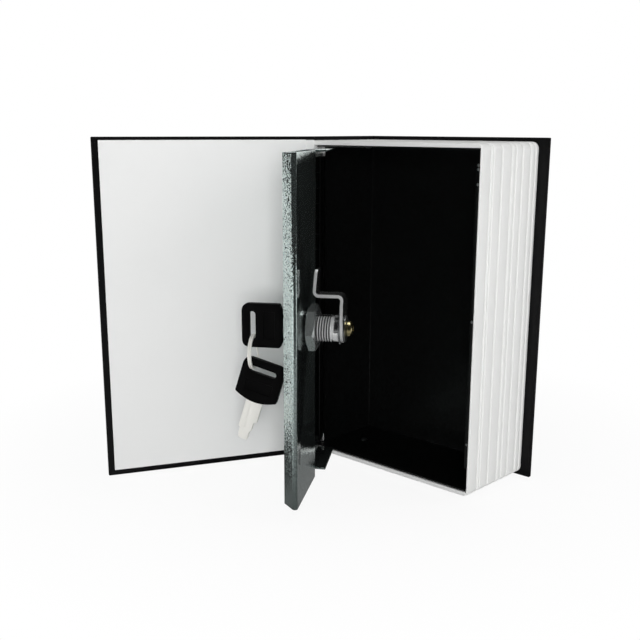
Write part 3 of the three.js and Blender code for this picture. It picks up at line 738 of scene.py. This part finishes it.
# A piano hinge runs nearly the full height. The knuckles of the two leaves alternate on one pin,
# and both leaves are under the enamel.
BARREL = 1.65
PIN = 0.9
PIN_FOOT = 1.4
LEAF = 0.6
LEAF_WIDTH = 11.0
LEAF_ROUND = 0.12
KNUCKLES = 19
KNUCKLE_GAP = 0.25
KNUCKLE_START = 96.875
KNUCKLE_SWEEP = 342.81
KNUCKLE_STEPS = 28
PIN_GAP = 0.1
PIN_ROUND = 0.2
LEAF_GAP = 0.25
hinge_low, hinge_high = box_of("box_hinge_leaf")
hinge_origin = joints["door_hinge"]["pos_m"]
hinge_foot = (hinge_origin[0], hinge_origin[1], 0)
door_x = Vector(joints["spare_key_swing"]["axis"])
door_y = Vector(joints["lock_turn"]["axis"])
door_place = frame_at(hinge_foot, door_x, door_y)


def repeat_along(name, part, count, step, finish):
    """Copies of a part in a row, made by a node tree with its count, step, part and finish as inputs."""
    tree = bpy.data.node_groups.new(name, "GeometryNodeTree")
    sockets = {}
    for label, kind in (("Count", "Int"), ("Step", "Vector"), ("Part", "Object"), ("Finish", "Material")):
        sockets[label] = tree.interface.new_socket(label, in_out="INPUT", socket_type="NodeSocket" + kind)
    tree.interface.new_socket("Row", in_out="OUTPUT", socket_type="NodeSocketGeometry")
    given, result = tree.nodes.new("NodeGroupInput"), tree.nodes.new("NodeGroupOutput")
    line, info, copies, real, paint = (
        tree.nodes.new("GeometryNode" + kind)
        for kind in ("MeshLine", "ObjectInfo", "InstanceOnPoints", "RealizeInstances", "SetMaterial")
    )
    for a, b in (
        (given.outputs["Count"], line.inputs["Count"]),
        (given.outputs["Step"], line.inputs["Offset"]),
        (given.outputs["Part"], info.inputs["Object"]),
        (line.outputs["Mesh"], copies.inputs["Points"]),
        (info.outputs["Geometry"], copies.inputs["Instance"]),
        (copies.outputs["Instances"], real.inputs["Geometry"]),
        (real.outputs["Geometry"], paint.inputs["Geometry"]),
        (given.outputs["Finish"], paint.inputs["Material"]),
        (paint.outputs["Geometry"], result.inputs["Row"]),
    ):
        tree.links.new(a, b)
    row = bpy.data.objects.new(name, bpy.data.meshes.new(name))
    scene.collection.objects.link(row)
    modifier = row.modifiers.new("row", "NODES")
    modifier.node_group = tree
    for label, value in (("Count", count), ("Step", step), ("Part", part), ("Finish", finish.material)):
        modifier[sockets[label].identifier] = value
    settle(row)
    bpy.data.objects.remove(part)
    return row


def hinge_side(name, odd, place, body, node):
    """One leaf with every second knuckle curled from its edge."""
    length = hinge_high.z - hinge_low.z
    pitch = length / KNUCKLES
    count = (KNUCKLES + 1 - odd) // 2
    foot = hinge_low.z + odd * pitch + KNUCKLE_GAP / 2
    top = foot + pitch - KNUCKLE_GAP
    plan = arc((0, 0), BARREL, KNUCKLE_START, KNUCKLE_SWEEP, KNUCKLE_STEPS)
    plan += arc((0, 0), PIN + PIN_GAP, KNUCKLE_START + KNUCKLE_SWEEP, -KNUCKLE_SWEEP, KNUCKLE_STEPS)
    curl = upright(name + "_curl", plan, (foot, top), place)
    step = (place.to_3x3() @ Vector((0, 0, 2 * pitch)))[:]
    knuckles = repeat_along(name + "_knuckles", curl, count, step, black_enamel)
    carry(smooth(knuckles, 40), black_enamel, "black_paint", body)
    web = plate(name + "_web", (PIN_GAP, BARREL - LEAF, foot), (LEAF_WIDTH / 2, BARREL, top), place)
    carry(repeat_along(name + "_webs", web, count, step, black_enamel), black_enamel, "black_paint", body)
    low = (BARREL + LEAF_GAP, BARREL - LEAF, hinge_low.z)
    leaf = plate(name, low, (LEAF_WIDTH, BARREL, hinge_high.z), place)
    carry(soften(leaf, LEAF_ROUND, 2), black_enamel, "black_paint", body, node)


def hinge_pin():
    low, high = (corner.z for corner in box_of("hinge_pin"))
    foot = hinge_low.z - 0.05
    profile = [(0, low), (PIN_FOOT - PIN_ROUND, low), (PIN_FOOT, low + PIN_ROUND), (PIN_FOOT, foot),
               (PIN, foot), (PIN, high - PIN_ROUND), (PIN * 0.8, high), (0, high)]
    pin = turned("pin", profile, frame_at(hinge_foot, X_AXIS, Z_AXIS), 32)
    carry(smooth(pin), zinc, "zinc", "book", "hinge_pin")


hinge_side("fixed_leaf", 0, frame_at(hinge_foot, Y_AXIS, (-1, 0, 0)), "book", "box_hinge_leaf")
hinge_side("door_leaf", 1, door_place, "door", "door_hinge_leaf")
hinge_pin()

# The door is one folded sheet in grey-green hammered enamel: a front, a bevel along the free edge
# and a return that carries the lock. Two small tabs are welded on, at the top and the bottom.
DOOR_SHEET = 1.0
FOLD = 0.4
BEND_STEP = 0.12
FRONT = -0.25
DOOR_BACK = 7.75
DOOR_PLAY = 0.5
DOOR_ROUND = 0.18
PANEL_START = 2.15
PANEL_WIDTH = 91.9
BEVEL_WIDTH = 8.6
RETURN_WIDTH = 46.2
TAB_START = 11.4
TAB_LENGTH = 34.1
TAB_DEPTH = 11.5
TAB_TAPER = 1.3
TAB_ROUND = 0.3
DOOR_LOW = tray_low.z + SHEET + DOOR_PLAY
DOOR_HIGH = tray_high.z - SHEET - DOOR_PLAY
THREAD = 7.0
HOLE_GAP = 0.3
HOLE_FROM = -6
HOLE_TO = 14
TAB_GAP = 0.02
lock_origin = Vector(joints["lock_turn"]["pos_m"])
lock_place = frame_at(lock_origin, door_x, door_y)


def folded(corners, thickness, radius):
    """The outline of a sheet of even thickness along a line of corners, bent to an inner radius."""
    line = []
    bend = radius + thickness / 2
    points = [Vector(corner) for corner in corners]
    for k, here in enumerate(points):
        if k in (0, len(points) - 1):
            along = (points[1] - here if k == 0 else here - points[-2]).normalized()
            line.append((here, Vector((-along.y, along.x))))
            continue
        before = (points[k - 1] - here).normalized()
        after = (points[k + 1] - here).normalized()
        half = math.acos(max(-1, min(1, before.dot(after)))) / 2
        centre = here + (before + after).normalized() * bend / math.sin(half)
        spoke = here + before * bend / math.tan(half) - centre
        way = -1 if before.x * after.y - before.y * after.x > 0 else 1
        sweep = math.pi - 2 * half
        count = max(3, math.ceil(sweep / BEND_STEP))
        for step in range(count + 1):
            arm = Matrix.Rotation(way * sweep * step / count, 2) @ spoke
            line.append((centre + arm, arm.normalized() * -way))
    near = [point - normal * thickness / 2 for point, normal in line]
    far = [point + normal * thickness / 2 for point, normal in line]
    return near + far[::-1]


def door_sheet():
    bevel = PANEL_START + PANEL_WIDTH
    edge = bevel + BEVEL_WIDTH
    front, back = FRONT + DOOR_SHEET / 2, DOOR_BACK - DOOR_SHEET / 2
    line = [(PANEL_START, front), (bevel, front), (edge, back), (edge - RETURN_WIDTH, back)]
    sheet = upright("door_sheet", folded(line, DOOR_SHEET, FOLD), (DOOR_LOW, DOOR_HIGH), door_place)
    hole = THREAD + HOLE_GAP
    cut = [(0, HOLE_FROM), (hole, HOLE_FROM), (hole, HOLE_TO), (0, HOLE_TO)]
    carve(sheet, turned("lock_hole", cut, lock_place, 48))
    soften(sheet, DOOR_ROUND, 2, 50)
    carry(smooth(sheet, 24), grey_green, "hammertone", "door", "door_panel")
    near, end, back = FRONT + DOOR_SHEET + TAB_GAP, TAB_START + TAB_LENGTH, FRONT + TAB_DEPTH
    plan = [(TAB_START, near), (end, near), (end, back), (TAB_START, back - TAB_TAPER)]
    for name, z in (("lower_tab", DOOR_LOW), ("upper_tab", DOOR_HIGH - DOOR_SHEET)):
        tab = upright(name, plan, (z, z + DOOR_SHEET), door_place)
        carry(smooth(soften(tab, TAB_ROUND)), grey_green, "hammertone", "door")


grey_green = hammered_finish(
    "grey_green_hammered_enamel", ((0.66, 0.77, 0.75, 1), (0.48, 0.57, 0.55, 1)), 0.0008, 1.1, 0.03, 0.97,
    door_y,
)
door_sheet()

# The lock body is die-cast and plated: a round face with a rolled edge in front of the door, a
# threaded barrel with two flats behind it, and a plain tail with a quarter cut away for the stop.
BEZEL = 8.8
BEZEL_DEPTH = 2.6
BEZEL_ROUND = 0.9
SEAT = FRONT - 0.25
BODY_FRONT = SEAT - BEZEL_DEPTH
THREAD_END = FRONT + 20.2
BODY_END = THREAD_END + 3.2
PITCH = 1.26
PITCH_STEPS = 10
THREAD_DEPTH = 0.8
THREAD_FADE = 0.5
THREAD_FULLNESS = 0.7
TAIL = 6.5
FLATS = 12.4
BORE = 5.65
STOP_DEPTH = 1.9
STOP_FROM = -9.5
STOP_TO = 99.5
STOP_SLOPE = 0.002
EDGE_BREAK = 0.15


def within_flats(radius, angle):
    rise = abs(math.sin(angle))
    return min(radius, FLATS / 2 / rise) if rise > 1e-6 else radius


def thread_radius(angle, y):
    """The barrel's radius: a rounded thread that fades out at both ends."""
    turns = (y - SEAT) / PITCH - angle / (2 * math.pi)
    wave = (0.5 - 0.5 * math.cos(2 * math.pi * turns)) ** THREAD_FULLNESS
    fade = min(1.0, max(0.0, (THREAD_END - 0.2 - y) / THREAD_FADE), max(0.0, (y - SEAT) / THREAD_FADE))
    return THREAD - THREAD_DEPTH * wave * fade


def thread_finish():
    """Painted highlight on the crests and the plain tail, and painted shade in the roots. Ramps read 10 mm
    and 33 mm as 1.
    """
    finish = Finish("thread_painted_light_and_shade", Metallic=0.6)
    offset = finish.vector("SUBTRACT", finish.place(), lock_origin)
    across = finish.along(offset, door_x)
    height = finish.along(offset, Z_AXIS)
    radius = (across * across + height * height) ** 0.5
    crest = finish.ramp(radius * 100.0, (THREAD / 10 - 0.075, 0.0), (THREAD / 10 - 0.02, 1.0))
    end = THREAD_END * 0.03
    tail = finish.ramp(finish.along(offset, door_y) * 30.0, (end - 0.02, 0.0), (end, 1.0))
    painted_light = finish.maths("MAXIMUM", crest, tail)
    # The base colour is painted light: near white on the crests and the tail, and near black in the roots
    # where shade falls.
    finish.surface(
        Base_Color=finish.mixed(painted_light, (0.03, 0.03, 0.03, 1), (0.93, 0.94, 0.94, 1)),
        Roughness=0.4 - 0.2 * painted_light,
    )
    finish.bump(finish.noise(1800.0, 4.0), 0.00002, 0.3)
    return finish


def lock_barrel():
    """Rows of (y, radius, reaches the stop), the threaded ones first, in a loop out along the bore."""
    angles = [math.radians(3 * k) for k in range(120)]
    for limit in (STOP_FROM, STOP_TO):
        angle = math.radians(90 - limit) % (2 * math.pi)
        angles += [angle - STOP_SLOPE, angle + STOP_SLOPE]
    angles.sort()
    rows = []
    y = SEAT
    while y < THREAD_END - 0.1:
        rows.append((y, None, False))
        y += PITCH / PITCH_STEPS
    shoulder = BODY_END - STOP_DEPTH
    rows += [(THREAD_END, TAIL - 0.5, False), (THREAD_END + 0.5, TAIL - 0.5, False)]
    rows += [(THREAD_END + 0.8, TAIL, False), (shoulder, TAIL, False), (BODY_END - EDGE_BREAK, TAIL, True)]
    rows += [(BODY_END, TAIL - EDGE_BREAK, True), (BODY_END, BORE, True), (shoulder - 0.4, BORE, False)]
    rows.append((SEAT, BORE, False))
    rings = []
    for y, radius, stops in rows:
        ring = []
        for angle in angles:
            clock = (90 - math.degrees(angle) + 180) % 360 - 180
            cut = stops and STOP_FROM < clock < STOP_TO
            here = radius or thread_radius(angle, y)
            if here > BORE:
                here = within_flats(here, angle)
            ring.append((here * math.cos(angle), min(y, shoulder) if cut else y, here * math.sin(angle)))
        rings.append(ring)
    barrel = new_piece("lock_barrel", loft(rings, closed=True), lock_place)
    carry(smooth(barrel, 45), thread_finish(), "chrome", "door", "lock_body")


def lock_bezel():
    profile = [(BORE, SEAT), (BORE, BODY_FRONT + 0.25), (BORE + 0.2, BODY_FRONT)]
    profile += arc((BEZEL - BEZEL_ROUND, BODY_FRONT + BEZEL_ROUND), BEZEL_ROUND, -90, 90, 6)
    profile += [(BEZEL, SEAT - EDGE_BREAK), (BEZEL - EDGE_BREAK, SEAT)]
    carry(smooth(turned("lock_bezel", profile, lock_place, 96)), bright_plate, "chrome", "door")


bright_plate = metal_finish("polished_plate", (0.86, 0.87, 0.87), 0.13, 1800.0, 0.9)
lock_barrel()
lock_bezel()

# A hexagon nut with chamfered corners draws the lock against the door. It is cut from plated steel,
# with a round seat that bears on the sheet.
NUT_FLATS = 20.3
NUT = 4.6
NUT_SEAT = 0.6
NUT_SEAT_RADIUS = 9.6
NUT_TURN = -9.0
NUT_ROUND = 0.3
NUT_CHAMFER = 1.4


def lock_nut():
    seat = DOOR_BACK + 0.25
    end = seat + NUT
    across = NUT_FLATS / math.sqrt(3)
    corners = arc((0, 0), across, NUT_TURN, 300, 5)
    nut = new_piece("hexagon_nut", loft([[(x, y, z) for x, z in corners] for y in (seat, end)]), lock_place)
    hole, wide, face = THREAD + 0.2, across + 0.6, NUT_FLATS / 2 - 0.2
    cone = [
        (hole, seat - 0.5), (NUT_SEAT_RADIUS, seat - 0.5), (NUT_SEAT_RADIUS, seat + NUT_SEAT - 0.1),
        (wide, seat + NUT_SEAT + 0.1), (wide, end - NUT_CHAMFER), (face, end), (face, end + 0.5),
        (hole, end + 0.5),
    ]
    carve(nut, turned("nut_cone", cone, lock_place, 96), "INTERSECT")
    carry(smooth(soften(nut, NUT_ROUND, 3, 25), 30), satin_plate, "chrome", "door", "lock_nut")


satin_plate = metal_finish("satin_plate", (0.8, 0.85, 0.84), 0.16, 2200.0, 0.85, 0.9)
lock_nut()

# The plug carries the key. Its face shows in the bezel with the keyway across it, and its squared
# end drives the stop washer and the cam. The wafers inside it never show.
PLUG = 5.5
PLUG_FRONT = BODY_FRONT + 0.3
BLADE = 1.9
BLADE_WIDTH = 8.6
KEYWAY_GAP = 0.15
WAFERS = 5


def lock_plug():
    profile = [(0, PLUG_FRONT), (PLUG - 0.3, PLUG_FRONT), (PLUG, PLUG_FRONT + 0.3), (PLUG, BODY_END),
               (0, BODY_END)]
    plug = turned("plug_face", profile, lock_place, 72)
    half, high = BLADE / 2 + KEYWAY_GAP, BLADE_WIDTH / 2 + KEYWAY_GAP
    carve(plug, plate("keyway", (-half, PLUG_FRONT - 1, -high), (half, BODY_END - 3.5, high), lock_place))
    carry(smooth(plug), bright_plate, "chrome", "lock_core", "lock_plug")


lock_plug()
nickel = metal_finish("nickel_silver", (0.95, 0.94, 0.89), 0.4, 2200.0, 0.96, 0.3)
for number in range(1, WAFERS + 1):
    coat(frame["nodes"][f"wafer_{number}"], nickel)

# The stop washer is blanked from zinc-plated steel, with a finger bent into the tail's cut-away, so
# that the lock turns a quarter turn and no more.
WASHER_PLAY = 0.15
WASHER = 0.8
WASHER_HOLE = 3.7
WASHER_RADIUS = 6.55
WASHER_Y = BODY_END + WASHER_PLAY


def stop_washer():
    end, rim = WASHER_Y + WASHER, WASHER_RADIUS - EDGE_BREAK
    profile = [(WASHER_HOLE, WASHER_Y), (rim, WASHER_Y), (WASHER_RADIUS, WASHER_Y + EDGE_BREAK),
               (WASHER_RADIUS, end - EDGE_BREAK), (rim, end), (WASHER_HOLE, end)]
    carry(smooth(turned("stop_disc", profile, lock_place)), zinc, "zinc", "lock_core", "stop_washer")
    finger_start = WASHER_Y - STOP_DEPTH + 0.25
    for name, low, high, rounding in (
        ("stop_lug", (-2.5, WASHER_Y, -7.3), (2.5, end, -6.2), 0.2),
        ("stop_finger", (-0.8, finger_start, 5.75), (0.8, WASHER_Y + 0.4, 6.4), 0.12),
    ):
        tab = soften(plate(name, low, high, lock_place), rounding, 2)
        carry(smooth(tab), zinc, "zinc", "lock_core")


stop_washer()

# The cam is a cranked tongue of plated steel. It rises from the square, steps towards the door and
# rises again, and a quarter turn swings its tip behind the strike.
CAM = 1.5
CAM_Y = WASHER_Y + WASHER + WASHER_PLAY
CAM_RISE = 16.3
CAM_STEP = 13.7
CAM_REACH = 28.8
CAM_LEAN = 1.1
CAM_WIDTH = 14.0
CAM_TIP = 9.0
CAM_TIP_CUT = 1.5
CAM_BEND = 1.4
CAM_TAPER = 4.0


def sheared_plate():
    """Zinc plate, bright on the faces of the blank and matt on its sheared edges."""
    finish = Finish("sheared_zinc")
    sideways = finish.maths("ABSOLUTE", finish.along(finish.facing(), door_x))
    edge = finish.ramp(sideways, (0.35, 0.0), (0.8, 1.0))
    bloom = finish.noise(140.0, 3.0)
    finish.surface(
        Base_Color=finish.mixed(bloom, (0.78, 0.79, 0.79, 1), (0.62, 0.63, 0.63, 1)),
        Roughness=0.2 + 0.1 * bloom + 0.2 * edge,
        Metallic=1.0 - 0.4 * edge,
    )
    finish.bump(finish.noise(2600.0, 4.0), 0.00002, 0.35)
    return finish


def cranked_cam():
    flat, half, half_tip = CAM_Y + CAM / 2, CAM_WIDTH / 2, CAM_TIP / 2
    tip = flat - CAM_STEP
    line = [(flat, -half), (flat, CAM_RISE), (tip, CAM_RISE), (tip + CAM_LEAN, CAM_REACH)]
    side = folded(line, CAM, CAM_BEND)
    cam = new_piece("cranked_cam", loft([[(x, p.x, p.y) for p in side] for x in (-half, half)]), lock_place)
    right = [(half, CAM_RISE - CAM_TAPER), (half_tip, CAM_RISE), (half_tip, CAM_REACH - CAM_TIP_CUT),
             (half_tip - CAM_TIP_CUT, CAM_REACH)]
    plan = arc((0, 0), half, 180, 180, 24) + right + [(-x, z) for x, z in reversed(right)]
    prism = loft([[(x, y, z) for x, z in plan] for y in (tip - 3, flat + 3)])
    carve(cam, new_piece("cam_plan", prism, lock_place), "INTERSECT")
    carry(smooth(soften(cam, 0.2, 2, 40), 30), sheared_plate(), "zinc", "lock_core", "cam")


cranked_cam()

# A dished washer and a cross-slotted screw in yellow plate hold the cam on the square. The screw
# has a low round head, and goes into the plug's end.
DISH_Y = CAM_Y + CAM + WASHER_PLAY
DISH_PROFILE = ((1.9, 0.35), (4.5, 0.1), (6.4, 0), (6.55, 0.25), (6.4, 0.55), (4.5, 0.8), (1.9, 1.0))
SCREW_Y = DISH_Y + 1.0 + WASHER_PLAY
SCREW = 1.5
SCREW_LENGTH = 8
SCREW_HEAD = 3.7
SCREW_RIM = 0.9
SCREW_RISE = 3.1
DOME_STEPS = 8
SCREW_SLOTS = (20, 110)
SCREW_SLOT = (2.1, 1.4, 0.38)


def cam_fixings():
    dish = [(radius, DISH_Y + rise) for radius, rise in DISH_PROFILE]
    dish = turned("dished_washer", dish, lock_place, 72)
    carry(smooth(dish, 50), zinc, "zinc", "lock_core", "cam_washer")
    head = [(0, SCREW_Y - SCREW_LENGTH), (SCREW, SCREW_Y - SCREW_LENGTH), (SCREW, SCREW_Y),
            (SCREW_HEAD - 0.1, SCREW_Y), (SCREW_HEAD, SCREW_Y + EDGE_BREAK),
            (SCREW_HEAD, SCREW_Y + SCREW_RIM)]
    for x, y in arc((0, 0), 1, 0, 90, DOME_STEPS)[1:-1]:
        head.append((SCREW_HEAD * x, SCREW_Y + SCREW_RIM + (SCREW_RISE - SCREW_RIM) * y))
    head.append((0, SCREW_Y + SCREW_RISE))
    screw = turned("cam_screw_head", head, lock_place, 56)
    half, floor, side = SCREW_SLOT
    for angle in SCREW_SLOTS:
        across = lock_place @ Matrix.Rotation(math.radians(angle), 4, "Y")
        carve(screw, plate("slot", (-half, SCREW_Y + floor, -side), (half, SCREW_Y + 4, side), across))
    carry(smooth(screw, 35), yellow_plate, "brass_plate", "lock_core", "cam_screw")


yellow_plate = metal_finish("yellow_plate", (0.9, 0.78, 0.42), 0.2, 2400.0, 0.85)
cam_fixings()

# Two keys, cut alike. The head is black plastic moulded over the tang, with a slot for the ring and
# a bare recess on each side. The blade is nickel silver with a groove milled along it.
KEY_WIDTH = 22.0
KEY_SIDE = 19.3
KEY_HEAD = 22.0
KEY_THICKNESS = 3.2
KEY_ROUND = 4.2
KEY_EDGE = 0.45
KEY_SHOULDER = 1.2
SLOT_START = 3.8
SLOT_WIDTH = 3.2
SLOT_LENGTH = 14.0
LABEL_START = 11.0
LABEL_LENGTH = 5.6
LABEL_WIDTH = 14.0
LABEL_DEPTH = 0.4
BLADE_LENGTH = 20.8
BLADE_TIP = 1.2
BLADE_ROUND = 0.12
BLADE_GROOVE = 0.15
GROOVE_LOW = (KEY_HEAD + 0.8, -1.6)
GROOVE_HIGH = (KEY_HEAD + BLADE_LENGTH - 6.5, -0.4)
CUTS_LEFT = ((10.3, 1.5, 4.6), (15.4, 2.3, 5.4))
CUTS_RIGHT = ((14.6, 0.9, 1.6), (18.6, 1.3, 2.2))
SPARE_TILT = 17.0
SPARE_HANG = 0.5
RING = 8.1
RING_WIRE = 1.4
RING_DROP = 0.9


def plastic_finish():
    """Matt black plastic, a little paler where it is rubbed."""
    finish = Finish("black_moulded_plastic", Specular_IOR_Level=0.06)
    rub = finish.noise(120.0, 3.0)
    finish.surface(
        Base_Color=finish.mixed(rub, (0.0015, 0.0015, 0.0016, 1), (0.003, 0.003, 0.0032, 1)),
        Roughness=0.4 + 0.2 * rub,
    )
    finish.bump(finish.noise(3200.0, 2.0), 0.00002, 0.4)
    return finish


def curve(start, control, end, steps=8):
    """Points of a quadratic curve, without its first."""
    a, b, c = Vector(start), Vector(control), Vector(end)
    return [tuple(a.lerp(b, t).lerp(b.lerp(c, t), t)) for t in (k / steps for k in range(1, steps + 1))]


def key_outline():
    side, far = KEY_WIDTH / 2, 2 * KEY_HEAD - KEY_SIDE - 0.3
    points = [(KEY_ROUND, -side), (KEY_SIDE - 1, -side)]
    points += curve(points[-1], (KEY_SIDE, -side), (KEY_SIDE + 0.3, KEY_SHOULDER - side))
    points += curve(points[-1], (far, 0), (KEY_SIDE + 0.3, side - KEY_SHOULDER), 20)
    points += curve(points[-1], (KEY_SIDE, side), (KEY_SIDE - 1, side))
    points += [(KEY_ROUND, side)]
    points += curve(points[-1], (0, side), (0, side - KEY_ROUND))
    points += [(0, -side + KEY_ROUND)]
    points += curve(points[-1], (0, -side), (KEY_ROUND, -side))
    return points[:-1]


def slot_outline():
    radius, end = SLOT_WIDTH / 2, (SLOT_LENGTH - SLOT_WIDTH) / 2
    return arc((slot_middle, end), radius, 0, 180, 16) + arc((slot_middle, -end), radius, 180, 180, 16)


def blade_outline(root, tip, edge):
    """Along the one edge with its cuts, and back along the other. A cut is (start, depth, length)."""
    sides = []
    for cuts in (CUTS_LEFT, CUTS_RIGHT):
        side = [(root, edge)]
        for start, depth, length in cuts:
            y = KEY_HEAD + start
            side += [(y, side[-1][1]), (y + 0.5, edge - depth), (min(y + length, tip - 0.6), edge - depth)]
        sides.append(side + [(tip, BLADE_TIP)])
    return sides[0] + [(y, -z) for y, z in reversed(sides[1])]


def flat_blank(name, outline, half, place):
    return new_piece(name, loft([[(x, y, z) for y, z in outline] for x in (-half, half)]), place)


def carve_both_sides(piece, half, depth, low, high, place):
    """A recess of one depth in each side of a blank, between two corners in Y and Z."""
    for x in (half - depth, depth - 1 - half):
        carve(piece, plate("recess", (x, *low), (x + 1, *high), place))


def key(name, place, body, head_node, blade_node):
    half = KEY_THICKNESS / 2
    head = flat_blank(name + "_grip", key_outline(), half, place)
    carve(head, flat_blank("slot", slot_outline(), half + 1, place))
    label_low = (LABEL_START, -LABEL_WIDTH / 2)
    label_high = (LABEL_START + LABEL_LENGTH, LABEL_WIDTH / 2)
    carve_both_sides(head, half, LABEL_DEPTH, label_low, label_high, place)
    carry(smooth(soften(head, KEY_EDGE, 3, 40), 35), key_plastic, "key_plastic", body, head_node)
    root, tip = KEY_HEAD - 0.6, KEY_HEAD + BLADE_LENGTH
    blade = flat_blank(name + "_blade", blade_outline(root, tip, BLADE_WIDTH / 2), BLADE / 2, place)
    carve_both_sides(blade, BLADE / 2, BLADE_GROOVE, GROOVE_LOW, GROOVE_HIGH, place)
    carry(smooth(soften(blade, BLADE_ROUND, 2), 30), nickel, "nickel", body, blade_node)


key_plastic = plastic_finish()
key_end = BODY_FRONT - 0.3 - KEY_HEAD
slot_middle = SLOT_START + SLOT_WIDTH / 2
key("key", lock_place @ Matrix.Translation((0, key_end, 0)), "key_in_lock", "key_head", "key_blade")
ring_centre = Vector((0, key_end + slot_middle, RING_DROP + (RING_WIRE - SLOT_LENGTH) / 2 - RING))
spare_turn = Matrix.Rotation(math.radians(-90 - SPARE_TILT), 4, "X")
held = spare_turn @ Vector((0, SLOT_START + RING_WIRE / 2 + SPARE_HANG, (SLOT_WIDTH - SLOT_LENGTH) / 2))
wire_foot = ring_centre - Vector((0, 0, RING))
spare_place = lock_place @ Matrix.Translation(wire_foot - held) @ spare_turn
key("spare", spare_place, "second_key", "spare_key_head", "spare_key_blade")

# The split ring is flat spring wire wound nearly twice, with its ends side by side. It hangs in the
# slot of the key in the lock, and carries the spare key.
RING_TURNS = 1.86
RING_LAYER = 0.5
RING_START = 215
RING_STEPS = 220
WIRE_SIDES = 12
WIRE_SQUARENESS = 0.6


def squared(value):
    """A sine or cosine pushed outwards, which makes a circle into a rounded square."""
    return math.copysign(abs(value) ** WIRE_SQUARENESS, value)


def split_ring():
    rings = []
    for k in range(RING_STEPS + 1):
        turns = k / RING_STEPS * RING_TURNS
        angle = math.radians(RING_START) + 2 * math.pi * turns
        climb = min(1.0, max(0.0, (turns - RING_TURNS / 2) / 0.12 + 0.5))
        layer = RING_LAYER * (2 * climb * climb * (3 - 2 * climb) - 1)
        out = Vector((math.cos(angle), 0, math.sin(angle)))
        ring = []
        for side in range(WIRE_SIDES):
            turn_by = 2 * math.pi * (side + 0.5) / WIRE_SIDES
            across = squared(math.cos(turn_by)) * (RING_WIRE / 2 - 0.02)
            lift = squared(math.sin(turn_by)) * (RING_LAYER - 0.03)
            ring.append(ring_centre + out * (RING + across) + Vector((0, layer + lift, 0)))
        rings.append(ring)
    ring = new_piece("split_ring", loft(rings), lock_place)
    carry(smooth(ring, 50), nickel, "nickel", "ring", "key_ring")


split_ring()
